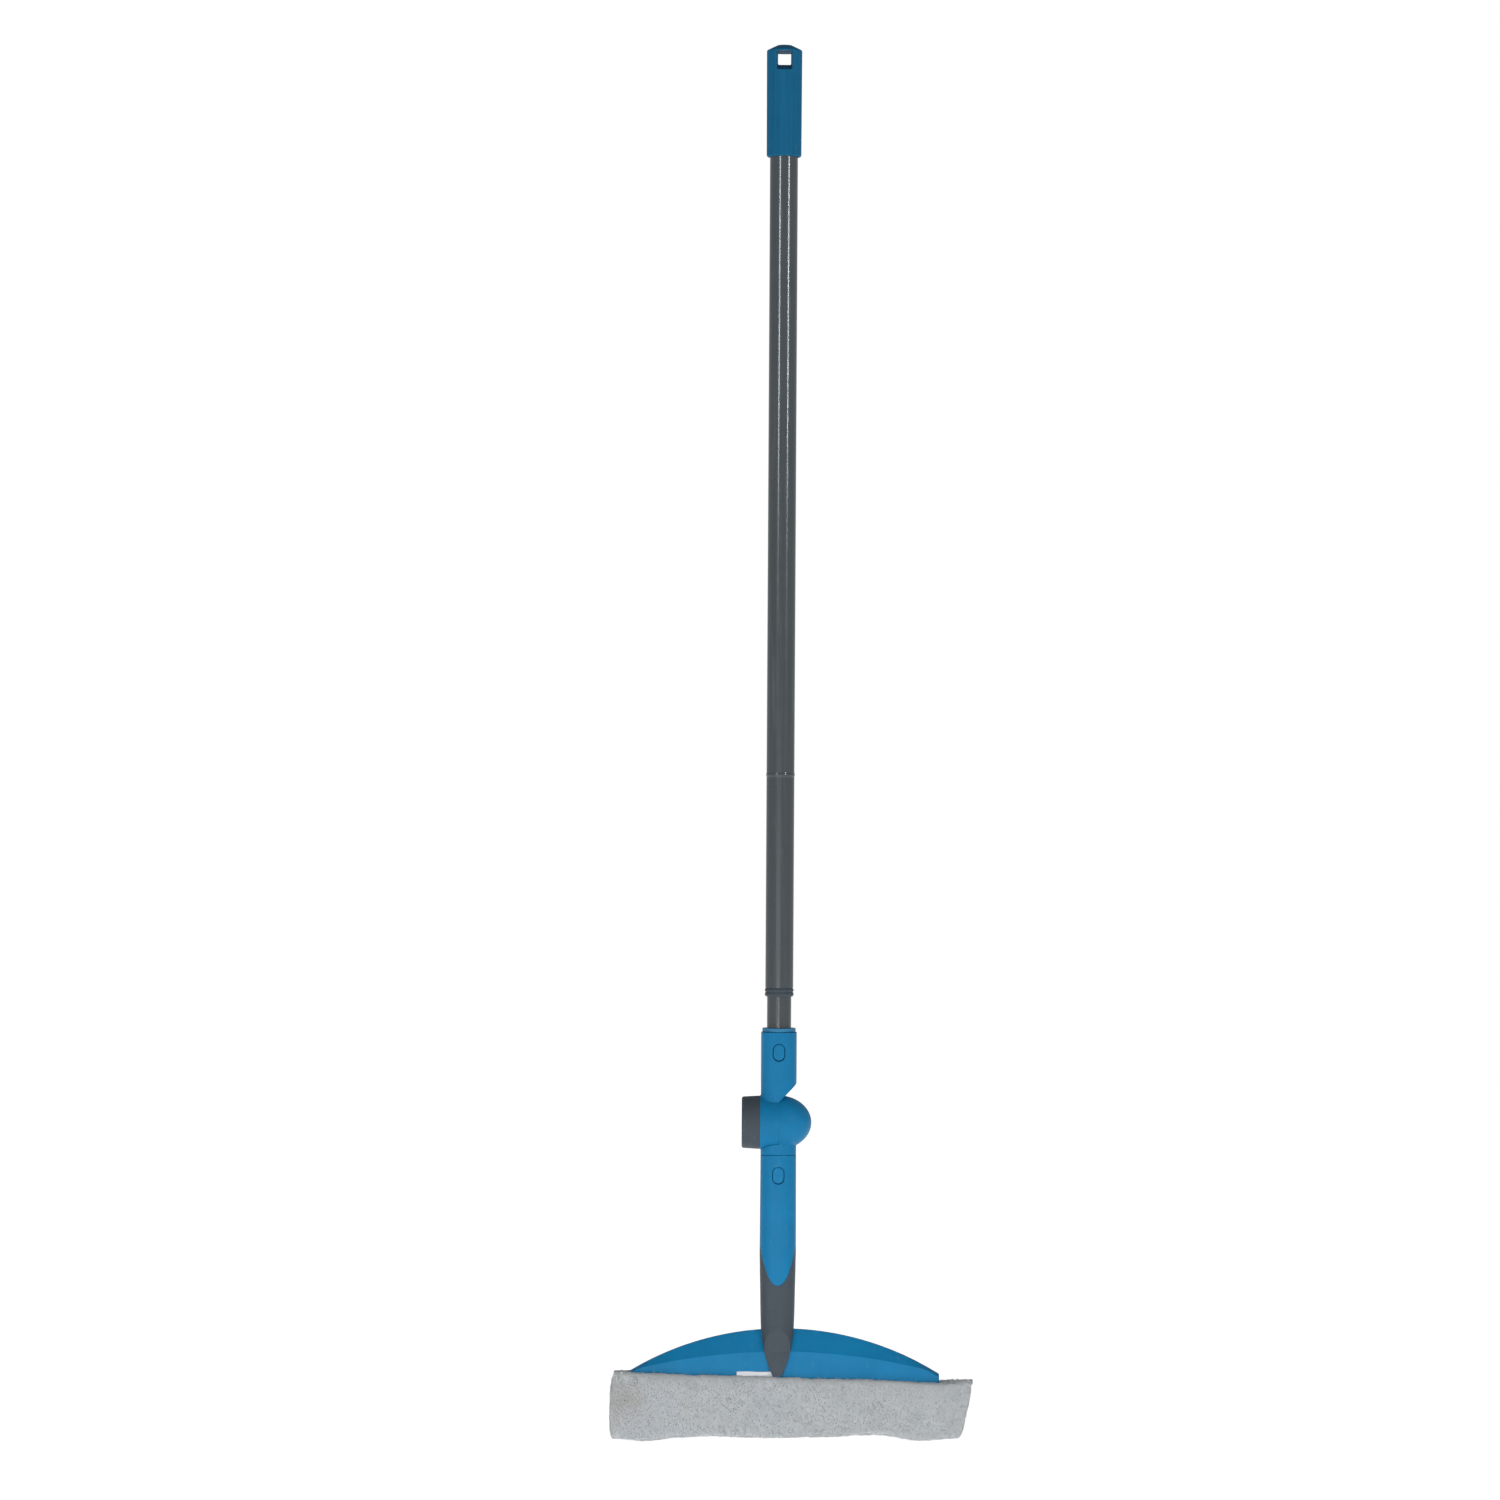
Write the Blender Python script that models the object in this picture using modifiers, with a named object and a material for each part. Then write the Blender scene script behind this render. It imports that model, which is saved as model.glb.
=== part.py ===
"""Window washer on a telescopic pole, with a clamped tilting joint and a fleece cover.

The frame is +Z up, in metres. The origin is the flat upper face of the hang hole, where the pole's cap
sits on a hook. The pole hangs down from it along -Z, the washer head runs along X, and the working faces
look along -Y and +Y.
"""

import math

import bmesh
import bpy
from mathutils import Matrix, Vector

MM = 0.001

# Clearances
GAP = 0.3 * MM  # between two pieces that touch or are pressed together
RUNNING = 0.25 * MM  # on the radius of a piece that turns or slides in another
OVERLAP = 1.0 * MM  # how far shapes that a Boolean joins reach into each other
PAST = 4.0 * MM  # how far a cutter runs past the wall it cuts

# Facets of round pieces
LARGE_ROUND = 32
SMALL_ROUND = 16
ARC_STEPS = 5

# Pole tubes
OUTER_TUBE_RADIUS = 12.7 * MM
INNER_TUBE_RADIUS = 11.0 * MM
TUBE_WALL = 0.6 * MM
OUTER_TUBE_LENGTH = 822.5 * MM
INNER_TUBE_SHOWING = 28.7 * MM
STOP_BEAD_UP = 194.0 * MM  # above the outer tube's lower end
STOP_BEAD_HEIGHT = 4.0 * MM
STOP_BEAD_PROUD = 0.35 * MM

# End cap with the hang hole
CAP_WALL = 3.1 * MM
CAP_DRAFT = 0.3 * MM  # the mouth is this much slimmer than the head
CAP_CROWN = 6.1 * MM  # above the hang hole's upper face
CAP_SHOULDER = 4.9 * MM
CAP_TOP_RADIUS = 6.6 * MM
CAP_SOLID = 29.7 * MM  # from the hang hole's upper face to the end of the tube
CAP_ON_TUBE = 65.6 * MM
CAP_LIP = 1.0 * MM
HANG_HOLE_WIDTH = 11.8 * MM
HANG_HOLE_HEIGHT = 11.5 * MM
HANG_MOUTH_WIDTH = 14.6 * MM
HANG_MOUTH_HEIGHT = 17.7 * MM

# Guide bush in the outer tube's mouth, with two beads outside
BUSH_INSERT = 28.0 * MM
BUSH_COLLAR = 7.5 * MM
BUSH_BEAD_PROUD = 0.45 * MM

# Twist lock at the top of the inner tube
LOCK_HEADROOM = 120.0 * MM  # from the outer tube's top to the inner tube's top
LOCK_PLUG_DEPTH = 25.0 * MM
LOCK_FLANGE = 3.0 * MM
LOCK_STUD_RADIUS = 4.0 * MM
LOCK_STUD_LENGTH = 40.0 * MM
LOCK_EXPANDER_LENGTH = 29.0 * MM
LOCK_CONE_LENGTH = 14.0 * MM
LOCK_CONE_TAPER = 0.2
LOCK_LIP = 1.1 * MM  # wall of the expander at its thin end
LOCK_SLOT = 1.5 * MM
LOCK_STOP_HEIGHT = 3.0 * MM
LOCK_STOP_RIM = 2.5 * MM

# Click connection: a hollow spigot with a sprung button, and the socket that takes it
SPIGOT_RADIUS = 12.2 * MM
SPIGOT_WALL = 2.6 * MM
SPIGOT_LENGTH = 45.0 * MM
SPIGOT_ROOF = 3.0 * MM
COLLAR_RADIUS = 15.2 * MM
COLLAR_HEIGHT = 3.4 * MM
STUB_LENGTH = 18.0 * MM
BUTTON_WIDTH = 10.0 * MM
BUTTON_HEIGHT = 14.7 * MM
BUTTON_GAP = 0.45 * MM
BUTTON_FLANGE = 1.1 * MM
BUTTON_FLANGE_THICKNESS = 1.4 * MM
BUTTON_BELOW_SOCKET = 18.0 * MM
LEAF_THICKNESS = 0.5 * MM
LEAF_WIDTH = 6.0 * MM
LEAF_DROP = 20.0 * MM

# Joint
SOCKET_HALF_WIDTH = 16.25 * MM
SOCKET_HALF_DEPTH = 15.6 * MM
SOCKET_SQUARENESS = 2.5
SOCKET_TO_HINGE = 82.4 * MM
HINGE_TO_HANDLE = 29.0 * MM
DOME_RADIUS = 24.6 * MM
PIVOT_CLEAR = 0.5 * MM
PIVOT_DISC_THICKNESS = 16.6 * MM
DOME_LENGTH = 30.0 * MM
DOME_STEPS = 9
SOCKET_CUT_UP = 21.8 * MM  # where the socket's slanted end meets the middle plane, above the hinge
SOCKET_CUT_SLOPE = 0.8
BOLT_RADIUS = 3.0 * MM
BOLT_IN_DOME = 20.0 * MM
BOLT_HEAD_RADIUS = 5.8 * MM  # across the corners of the hexagon
BOLT_HEAD_HEIGHT = 4.4 * MM
NUT_WIDTH = 10.0 * MM
NUT_THICKNESS = 5.0 * MM
NUT_FROM_FACE = 8.0 * MM
WASHER_RADIUS = 9.5 * MM
WASHER_THICKNESS = 1.5 * MM
WASHER_RECESS = 2.2 * MM
FRICTION_RING_RIM = 3.9 * MM  # of the disc, outside the friction ring
FRICTION_RING_BORE = 8.0 * MM
FRICTION_RING_THICKNESS = 1.6 * MM

# Clamping knob
KNOB_TAPER = 0.9 * MM
KNOB_THICKNESS = 16.3 * MM
KNOB_EDGE = 1.4 * MM
KNOB_RIM = 2.6 * MM
KNOB_HOLLOW = 8.0 * MM
KNOB_BOSS_RADIUS = 9.0 * MM
KNOB_COVER_RADIUS = 15.0 * MM
KNOB_COVER_THICKNESS = 1.7 * MM

# Washer handle
HANDLE_TO_HEAD = 158.4 * MM  # from the handle's top to the crescent's highest point
HANDLE_HALF_WIDTH = 16.6 * MM  # near the ends of the blue shell's sides
HANDLE_HALF_DEPTH = 15.3 * MM
SHELL_SIDE_LENGTH = 91.5 * MM  # the blue shell at the two sides
WIDEST_ABOVE_SIDES = 3.7 * MM  # from the sides' ends up to the handle's widest section
SHELL_TONGUE = 29.5 * MM  # how much further it reaches at the front and back
NECK_SECTIONS = (  # share of the way from there to the crescent's top, half width, half depth
    (0.27, 15.8 * MM, 14.4 * MM),
    (0.47, 15.2 * MM, 13.6 * MM),
    (0.74, 14.7 * MM, 12.6 * MM),
    (1.02, 14.0 * MM, 11.6 * MM),
)
CORE_TOP = 56.0 * MM  # below the handle's top
CORE_RADIUS = 10.9 * MM

# Crescent head
HEAD_HALF_LENGTH = 142.0 * MM
HEAD_TOP_ARC = 267.0 * MM  # radius of the crescent's upper edge
HEAD_FACET_DROP = 19.9 * MM  # from the upper edge to the facet line at the middle
HEAD_FACET_ARC = 537.0 * MM  # radius of the facet line
HEAD_HEIGHT = 45.3 * MM
HEAD_TOP_HALF_DEPTH = 3.4 * MM
HEAD_FACET_HALF_DEPTH = 9.0 * MM
HEAD_FOOT_HALF_DEPTH = 11.0 * MM
HEAD_END_SLIMMING = 3.0 * MM
HEAD_END_WALL = 8.0 * MM  # height of the crescent at its two ends
HEAD_WALL = 2.2 * MM
HEAD_STATIONS = 19
TONGUE_ABOVE_COVER = 0.8 * MM
TONGUE_PROUD = 1.7 * MM
TONGUE_TIP_HALF_WIDTH = 1.6 * MM
TONGUE_SQUARENESS = 8.0
TONGUE_STEPS = 7

# Screws that hold the head together, in a row
SCREW_SPACING = 42.0 * MM
SCREW_ROW_UP = 13.0 * MM  # above the crescent's foot
SCREW_RADIUS = 1.4 * MM
SCREW_HEAD_RADIUS = 3.0 * MM
SCREW_HEAD_HEIGHT = 1.8 * MM
SCREW_BOSS_RADIUS = 3.7 * MM

# Bar that fills the fleece cover
BAR_HALF_LENGTH = 148.0 * MM
BAR_HEIGHT = 41.0 * MM
BAR_THICKNESS = 8.0 * MM
BAR_CORNER = 10.0 * MM
BAR_RIB_HALF_LENGTH = 93.0 * MM
BAR_RIB_THICKNESS = 3.0 * MM
BAR_RIB_HEIGHT = 23.0 * MM  # above the crescent's foot
BAR_SLOT_LENGTH = 62.0 * MM
BAR_SLOT_HEIGHT = 14.0 * MM
BAR_SLOT_SPACING = 90.0 * MM
HOOK_STRIP_HALF_LENGTH = 130.0 * MM
HOOK_STRIP_HEIGHT = 9.0 * MM
HOOK_STRIP_THICKNESS = 1.0 * MM
HOOK_STRIP_UP = 4.0 * MM  # above the bar's lower edge

# Fleece cover, pulled over the bar and the crescent's foot
COVER_HALF_LENGTH = 164.0 * MM
COVER_SHIFT = 5.7 * MM  # along X, as it was pulled on
COVER_LAP = 2.5 * MM  # over the crescent's foot
COVER_UNDER_BAR = 14.0 * MM
COVER_HALF_DEPTH = 17.0 * MM
COVER_EDGE = 5.0 * MM
LABEL_WIDTH = 31.8 * MM
LABEL_CENTRE = -26.4 * MM
LABEL_HEIGHT = 4.2 * MM
LABEL_THICKNESS = 0.7 * MM

# Heights, worked down from the hang hole
TUBE_TOP_Z = -CAP_SOLID - GAP
TUBE_END_Z = TUBE_TOP_Z - OUTER_TUBE_LENGTH
BUSH_END_Z = TUBE_END_Z - GAP - BUSH_COLLAR
COLLAR_TOP_Z = BUSH_END_Z - INNER_TUBE_SHOWING
SOCKET_TOP_Z = COLLAR_TOP_Z - COLLAR_HEIGHT - GAP
HINGE_Z = SOCKET_TOP_Z - SOCKET_TO_HINGE
HANDLE_TOP_Z = HINGE_Z - HINGE_TO_HANDLE - GAP
HEAD_TOP_Z = HANDLE_TOP_Z - HANDLE_TO_HEAD
HEAD_FOOT_Z = HEAD_TOP_Z - HEAD_HEIGHT
SCREW_Z = HEAD_FOOT_Z + SCREW_ROW_UP
BAR_TOP_Z = HEAD_FOOT_Z - GAP
BAR_FOOT_Z = BAR_TOP_Z - BAR_HEIGHT
COVER_TOP_Z = HEAD_FOOT_Z + COVER_LAP
COVER_FOOT_Z = BAR_FOOT_Z - COVER_UNDER_BAR
INNER_TUBE_TOP_Z = TUBE_TOP_Z - LOCK_HEADROOM
HINGE = Vector((0, 0, HINGE_Z))

# Radii and depths that follow from what fits inside what
TUBE_BORE = OUTER_TUBE_RADIUS - TUBE_WALL
CAP_RADIUS = OUTER_TUBE_RADIUS + GAP + CAP_WALL
INNER_TUBE_BORE = INNER_TUBE_RADIUS - TUBE_WALL
SOCKET_BORE = SPIGOT_RADIUS + GAP
SPIGOT_BORE = SPIGOT_RADIUS - SPIGOT_WALL
SOCKET_DEPTH = SPIGOT_LENGTH + 2.0 * MM
PIVOT_RADIUS = DOME_RADIUS - 0.7 * MM
KNOB_RADIUS = DOME_RADIUS - 0.3 * MM
FRICTION_RING_RADIUS = PIVOT_RADIUS - FRICTION_RING_RIM
BOLT_BORE = BOLT_RADIUS + 0.4 * MM
DISC_LEFT_X = -PIVOT_DISC_THICKNESS - RUNNING
DISC_RIGHT_X = -RUNNING
DOME_LEFT_X = RUNNING
KNOB_RIGHT_X = DISC_LEFT_X - 1.4 * GAP
KNOB_LEFT_X = KNOB_RIGHT_X - KNOB_THICKNESS
WASHER_FLOOR_X = DISC_LEFT_X + WASHER_RECESS
WASHER_LEFT_X = WASHER_FLOOR_X - GAP - WASHER_THICKNESS
KNOB_BOSS_X = WASHER_LEFT_X - GAP
COVER_FLOOR_X = KNOB_LEFT_X + KNOB_COVER_THICKNESS
BOLT_HEAD_FLOOR_X = COVER_FLOOR_X + BOLT_HEAD_HEIGHT + 2 * GAP
FRICTION_RING_X = DOME_LEFT_X - GAP - FRICTION_RING_THICKNESS
FRICTION_FLOOR_X = FRICTION_RING_X - GAP
SCREW_XS = [i * SCREW_SPACING for i in (-2, -1, 0, 1, 2)]

PART = "window_washer"


# ---------------------------------------------------------------- scene and materials


def clear_scene():
    for old in list(bpy.data.objects):
        bpy.data.objects.remove(old)
    for name in (PART, "cutters"):
        bpy.context.scene.collection.children.link(bpy.data.collections.new(name))


def finish(name, colour, roughness, metallic=0.0):
    """A plain Principled material."""
    material = bpy.data.materials.new(name)
    material.use_nodes = True
    shader = material.node_tree.nodes["Principled BSDF"]
    shader.inputs["Base Color"].default_value = (*colour, 1)
    shader.inputs["Roughness"].default_value = roughness
    shader.inputs["Metallic"].default_value = metallic
    return material


FINISHES = {
    "blue_plastic": ((0.014, 0.195, 0.423), 0.4, 0.0),
    "grey_plastic": ((0.073, 0.091, 0.105), 0.45, 0.0),
    "grey_paint": ((0.07, 0.085, 0.095), 0.3, 0.2),
    "black_plastic": ((0.02, 0.02, 0.022), 0.5, 0.0),
    "zinc_steel": ((0.6, 0.61, 0.63), 0.35, 1.0),
    "fleece": ((0.62, 0.64, 0.66), 0.95, 0.0),
    "white_tape": ((0.75, 0.77, 0.8), 0.8, 0.0),
}


def put(name, mesh, material=None):
    """Makes an object from a mesh: a part if it has a material, and a cutter or joined shape if not."""
    obj = bpy.data.objects.new(name, mesh)
    if material:
        obj.data.materials.append(bpy.data.materials[material])
        bpy.data.collections[PART].objects.link(obj)
    else:
        bpy.data.collections["cutters"].objects.link(obj)
        obj.hide_render = True
        obj.display_type = "WIRE"
    return obj


def smooth(obj, angle=35):
    obj.data.shade_smooth()
    obj.data.set_sharp_from_angle(angle=math.radians(angle))
    return obj


# ---------------------------------------------------------------- shapes


def aim(obj, along):
    """Turns an object made along Z: along X it lies on the hinge's axis, along Y in the screws' row."""
    if along == "X":
        obj.location = HINGE
        obj.rotation_euler = (0, math.pi / 2, 0)
    elif along == "Y":
        obj.location.z = SCREW_Z
        obj.rotation_euler = (-math.pi / 2, 0, 0)
    return obj


def turned(name, profile, material=None, steps=LARGE_ROUND, along="Z"):
    """A turned solid. The profile's (radius, height) points run down the outer side. It is a closed ring
    unless it starts and ends on the axis."""
    mesh = bpy.data.meshes.new(name)
    open_profile = profile[0][0] == 0
    count = len(profile)
    edges = [(i, (i + 1) % count) for i in range(count - 1 if open_profile else count)]
    mesh.from_pydata([(radius, 0, height) for radius, height in profile], edges, [])
    obj = put(name, mesh, material)
    screw = obj.modifiers.new("turn", "SCREW")
    screw.steps = screw.render_steps = steps
    screw.use_merge_vertices = True
    screw.merge_threshold = 1e-6
    return aim(obj, along)


def ring(name, radius, bore, low, high, material=None, steps=LARGE_ROUND, along="Z"):
    """A plain turned tube."""
    profile = [(radius, high), (radius, low), (bore, low), (bore, high)]
    return turned(name, profile, material, steps, along)


def rod(name, radius, low, high, material=None, steps=SMALL_ROUND, along="Z"):
    """A cylinder between two places on its axis."""
    mesh = bpy.data.meshes.new(name)
    shape = bmesh.new()
    bmesh.ops.create_cone(
        shape, cap_ends=True, segments=steps, radius1=radius, radius2=radius, depth=high - low
    )
    bmesh.ops.translate(shape, vec=(0, 0, (low + high) / 2), verts=shape.verts)
    shape.to_mesh(mesh)
    shape.free()
    return aim(put(name, mesh, material), along)


def box(name, low, high, material=None):
    """A box between two corners."""
    mesh = bpy.data.meshes.new(name)
    shape = bmesh.new()
    bmesh.ops.create_cube(shape, size=1)
    low, high = Vector(low), Vector(high)
    bmesh.ops.scale(shape, vec=high - low, verts=shape.verts)
    bmesh.ops.translate(shape, vec=(low + high) / 2, verts=shape.verts)
    shape.to_mesh(mesh)
    shape.free()
    return put(name, mesh, material)


def plate(name, outline, low, high, across, material=None):
    """A flat outline made thick. across is the axis its thickness runs along: with X the outline's points are
    (y, z), and with Y they are (x, z)."""
    curve = bpy.data.curves.new(name, "CURVE")
    curve.dimensions = "2D"
    curve.fill_mode = "BOTH"
    curve.extrude = (high - low) / 2
    spline = curve.splines.new("POLY")
    spline.points.add(len(outline) - 1)
    for point, (a, b) in zip(spline.points, outline):
        point.co = (a, b, 0, 1)
    spline.use_cyclic_u = True
    drawn = bpy.data.objects.new(name + "_outline", curve)
    bpy.data.collections["cutters"].objects.link(drawn)
    bpy.context.view_layer.update()
    mesh = bpy.data.meshes.new_from_object(drawn.evaluated_get(bpy.context.evaluated_depsgraph_get()))
    bpy.data.objects.remove(drawn)
    middle = (low + high) / 2
    if across == "X":
        turn = Matrix(((0, 0, 1, middle), (1, 0, 0, 0), (0, 1, 0, 0), (0, 0, 0, 1)))
    else:
        turn = Matrix(((1, 0, 0, 0), (0, 0, -1, middle), (0, 1, 0, 0), (0, 0, 0, 1)))
    mesh.transform(turn)
    shape = bmesh.new()
    shape.from_mesh(mesh)
    bmesh.ops.remove_doubles(shape, verts=shape.verts, dist=1e-6)
    bmesh.ops.recalc_face_normals(shape, faces=shape.faces)
    shape.to_mesh(mesh)
    shape.free()
    return put(name, mesh, material)


def loft(name, rings, material=None):
    """A closed skin over rings of points that have the same count."""
    shape = bmesh.new()
    loops = [[shape.verts.new(point) for point in points] for points in rings]
    count = len(loops[0])
    for first, second in zip(loops, loops[1:]):
        for i in range(count):
            j = (i + 1) % count
            shape.faces.new((first[i], first[j], second[j], second[i]))
    bmesh.ops.triangulate(shape, faces=shape.faces)
    shape.faces.new(reversed(loops[0]))
    shape.faces.new(loops[-1])
    bmesh.ops.recalc_face_normals(shape, faces=shape.faces)
    mesh = bpy.data.meshes.new(name)
    shape.to_mesh(mesh)
    shape.free()
    return put(name, mesh, material)


def section(z, half_width, half_depth, squareness=SOCKET_SQUARENESS):
    """A rounded outline in a level plane. A squareness of 2 is an ellipse, and more is nearer a rectangle."""
    points = []
    for i in range(LARGE_ROUND):
        angle = 2 * math.pi * i / LARGE_ROUND
        c, s = math.cos(angle), math.sin(angle)
        x = half_width * math.copysign(abs(c) ** (2 / squareness), c)
        y = half_depth * math.copysign(abs(s) ** (2 / squareness), s)
        points.append(Vector((x, y, z)))
    return points


def stadium(width, height, centre_z):
    """An upright outline with round ends."""
    radius = width / 2
    straight = height / 2 - radius
    points = []
    for i in range(2 * ARC_STEPS + 1):
        angle = math.pi * i / (2 * ARC_STEPS)
        points.append((radius * math.cos(angle), centre_z + straight + radius * math.sin(angle)))
    return points + [(-x, 2 * centre_z - z) for x, z in points]


def rounded(left, right, low, high, radius):
    """A rectangle with round corners."""
    points = []
    corners = ((right, high, 0), (left, high, 1), (left, low, 2), (right, low, 3))
    for x, z, quarter in corners:
        inset_x = x - math.copysign(radius, x - (left + right) / 2)
        inset_z = z - math.copysign(radius, z - (low + high) / 2)
        for i in range(ARC_STEPS + 1):
            angle = math.pi / 2 * (quarter + i / ARC_STEPS)
            points.append((inset_x + radius * math.cos(angle), inset_z + radius * math.sin(angle)))
    return points


def together(name, cutters):
    """Makes one cutter of several that stand apart."""
    shape = bmesh.new()
    for cutter in cutters:
        cutter.data.transform(cutter.matrix_basis)
        shape.from_mesh(cutter.data)
        bpy.data.objects.remove(cutter)
    mesh = bpy.data.meshes.new(name)
    shape.to_mesh(mesh)
    shape.free()
    return put(name, mesh)


def boolean(obj, other, operation):
    modifier = obj.modifiers.new(operation.lower(), "BOOLEAN")
    modifier.operation = operation
    modifier.object = other


def cut(obj, *cutters):
    for cutter in cutters:
        boolean(obj, cutter, "DIFFERENCE")
    return obj


def join(obj, *others):
    for other in others:
        boolean(obj, other, "UNION")
    return obj


def bevel(obj, width, segments=2, angle=40):
    modifier = obj.modifiers.new("edges", "BEVEL")
    modifier.width = width
    modifier.segments = segments
    modifier.limit_method = "ANGLE"
    modifier.angle_limit = math.radians(angle)
    modifier.use_clamp_overlap = True
    return obj


# ---------------------------------------------------------------- pole


def end_cap():
    """The blue cap: a crowned head with the hang hole over a sleeve that takes the tube."""
    mouth = CAP_RADIUS - CAP_DRAFT
    end = TUBE_TOP_Z - CAP_ON_TUBE
    bore = OUTER_TUBE_RADIUS + GAP
    profile = [
        (0, CAP_CROWN),
        (CAP_TOP_RADIUS, CAP_CROWN),
        (CAP_RADIUS, CAP_CROWN - CAP_SHOULDER),
        (mouth, end + CAP_LIP),
        (mouth - CAP_LIP, end),
        (bore, end),
        (bore, -CAP_SOLID),
        (0, -CAP_SOLID),
    ]
    cap = turned("end_cap", profile, "blue_plastic")

    def hole_ring(y, width, height):
        half = width / 2
        return [Vector((x, y, z)) for x, z in ((-half, 0), (half, 0), (half, -height), (-half, -height))]

    # the mouth is measured at the cap's surface, and the cutter runs on past it
    run = (CAP_RADIUS + PAST) / CAP_RADIUS
    width = HANG_HOLE_WIDTH + run * (HANG_MOUTH_WIDTH - HANG_HOLE_WIDTH)
    height = HANG_HOLE_HEIGHT + run * (HANG_MOUTH_HEIGHT - HANG_HOLE_HEIGHT)
    rings = [
        hole_ring(-CAP_RADIUS - PAST, width, height),
        hole_ring(0, HANG_HOLE_WIDTH, HANG_HOLE_HEIGHT),
        hole_ring(CAP_RADIUS + PAST, width, height),
    ]
    return cut(cap, loft("hang_hole_cutter", rings))


def outer_tube():
    """The steel tube, with the rolled bead that stops the twist lock."""
    bead = TUBE_END_Z + STOP_BEAD_UP
    half, radius = STOP_BEAD_HEIGHT / 2, OUTER_TUBE_RADIUS
    profile = [
        (radius, TUBE_TOP_Z),
        (radius, bead + half),
        (radius + STOP_BEAD_PROUD, bead + half / 3),
        (radius + STOP_BEAD_PROUD, bead - half / 3),
        (radius, bead - half),
        (radius, TUBE_END_Z),
        (TUBE_BORE, TUBE_END_Z),
        (TUBE_BORE, TUBE_TOP_Z),
    ]
    return turned("outer_tube", profile, "grey_paint")


def guide_bush():
    """The bush in the outer tube's mouth. Its collar has two beads."""
    insert = TUBE_BORE - RUNNING
    bore = INNER_TUBE_RADIUS + RUNNING
    waist = OUTER_TUBE_RADIUS - RUNNING
    bead = OUTER_TUBE_RADIUS + BUSH_BEAD_PROUD
    top = TUBE_END_Z - GAP
    profile = [
        (insert, TUBE_END_Z + BUSH_INSERT),
        (insert, top),
        (waist, top),
        (bead, top - 0.10 * BUSH_COLLAR),
        (bead, top - 0.26 * BUSH_COLLAR),
        (waist, top - 0.38 * BUSH_COLLAR),
        (waist, top - 0.44 * BUSH_COLLAR),
        (bead, top - 0.58 * BUSH_COLLAR),
        (bead, top - 0.80 * BUSH_COLLAR),
        (waist, BUSH_END_Z),
        (bore, BUSH_END_Z),
        (bore, TUBE_END_Z + BUSH_INSERT),
    ]
    return turned("guide_bush", profile, "grey_plastic")


def inner_tube():
    return ring(
        "inner_tube", INNER_TUBE_RADIUS, INNER_TUBE_BORE, COLLAR_TOP_Z + GAP, INNER_TUBE_TOP_Z, "grey_paint"
    )


def twist_lock():
    """The plug in the inner tube with its stud, the slotted expander, the cone that opens it and the stop."""
    base = INNER_TUBE_TOP_Z + GAP
    seat = base + LOCK_FLANGE
    stud_top = seat + LOCK_STUD_LENGTH
    plug = INNER_TUBE_BORE - RUNNING
    turned(
        "lock_plug",
        [
            (0, stud_top),
            (LOCK_STUD_RADIUS, stud_top),
            (LOCK_STUD_RADIUS, seat),
            (INNER_TUBE_RADIUS, seat),
            (INNER_TUBE_RADIUS, base),
            (plug, base),
            (plug, INNER_TUBE_TOP_Z - LOCK_PLUG_DEPTH),
            (0, INNER_TUBE_TOP_Z - LOCK_PLUG_DEPTH),
        ],
        "black_plastic",
        SMALL_ROUND + 8,
    )
    stud_bore = LOCK_STUD_RADIUS + RUNNING
    shoe_foot = seat + GAP
    shoe_top = shoe_foot + LOCK_EXPANDER_LENGTH
    shoe_radius = TUBE_BORE - GAP
    mouth = shoe_radius - LOCK_LIP
    throat = mouth - LOCK_CONE_TAPER * LOCK_CONE_LENGTH
    shoe = turned(
        "lock_expander",
        [
            (shoe_radius, shoe_top),
            (shoe_radius, shoe_foot),
            (stud_bore, shoe_foot),
            (stud_bore, shoe_top - LOCK_CONE_LENGTH - GAP),
            (throat, shoe_top - LOCK_CONE_LENGTH - GAP),
            (mouth, shoe_top),
        ],
        "black_plastic",
        SMALL_ROUND + 8,
    )
    half, reach = LOCK_SLOT / 2, shoe_radius + PAST
    slot_foot = shoe_foot + LOCK_EXPANDER_LENGTH / 4
    for name, x, y in (("slot_along_x", reach, half), ("slot_along_y", half, reach)):
        cut(shoe, box(name, (-x, -y, slot_foot), (x, y, shoe_top + PAST)))
    turned(
        "lock_cone",
        [
            (mouth - GAP, shoe_top),
            (throat - GAP, shoe_top - LOCK_CONE_LENGTH),
            (stud_bore, shoe_top - LOCK_CONE_LENGTH),
            (stud_bore, shoe_top),
        ],
        "black_plastic",
        SMALL_ROUND + 8,
    )
    rim = stud_bore + LOCK_STOP_RIM
    ring("lock_stop", rim, stud_bore, stud_top - LOCK_STOP_HEIGHT, stud_top, "zinc_steel", SMALL_ROUND)


def spigot_profile(top, roof):
    """The hollow spigot below a shoulder at top, closed by a roof, from the shoulder round to the axis."""
    return [
        (SPIGOT_RADIUS, top),
        (SPIGOT_RADIUS, top - SPIGOT_LENGTH),
        (SPIGOT_BORE, top - SPIGOT_LENGTH),
        (SPIGOT_BORE, roof),
        (0, roof),
    ]


def button_hole(name, socket_top, near, far):
    """The upright oval hole for a button, through the front walls between two places along Y."""
    outline = stadium(
        BUTTON_WIDTH + 2 * BUTTON_GAP, BUTTON_HEIGHT + 2 * BUTTON_GAP, socket_top - BUTTON_BELOW_SOCKET
    )
    return plate(name, outline, near, far, "Y")


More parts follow.
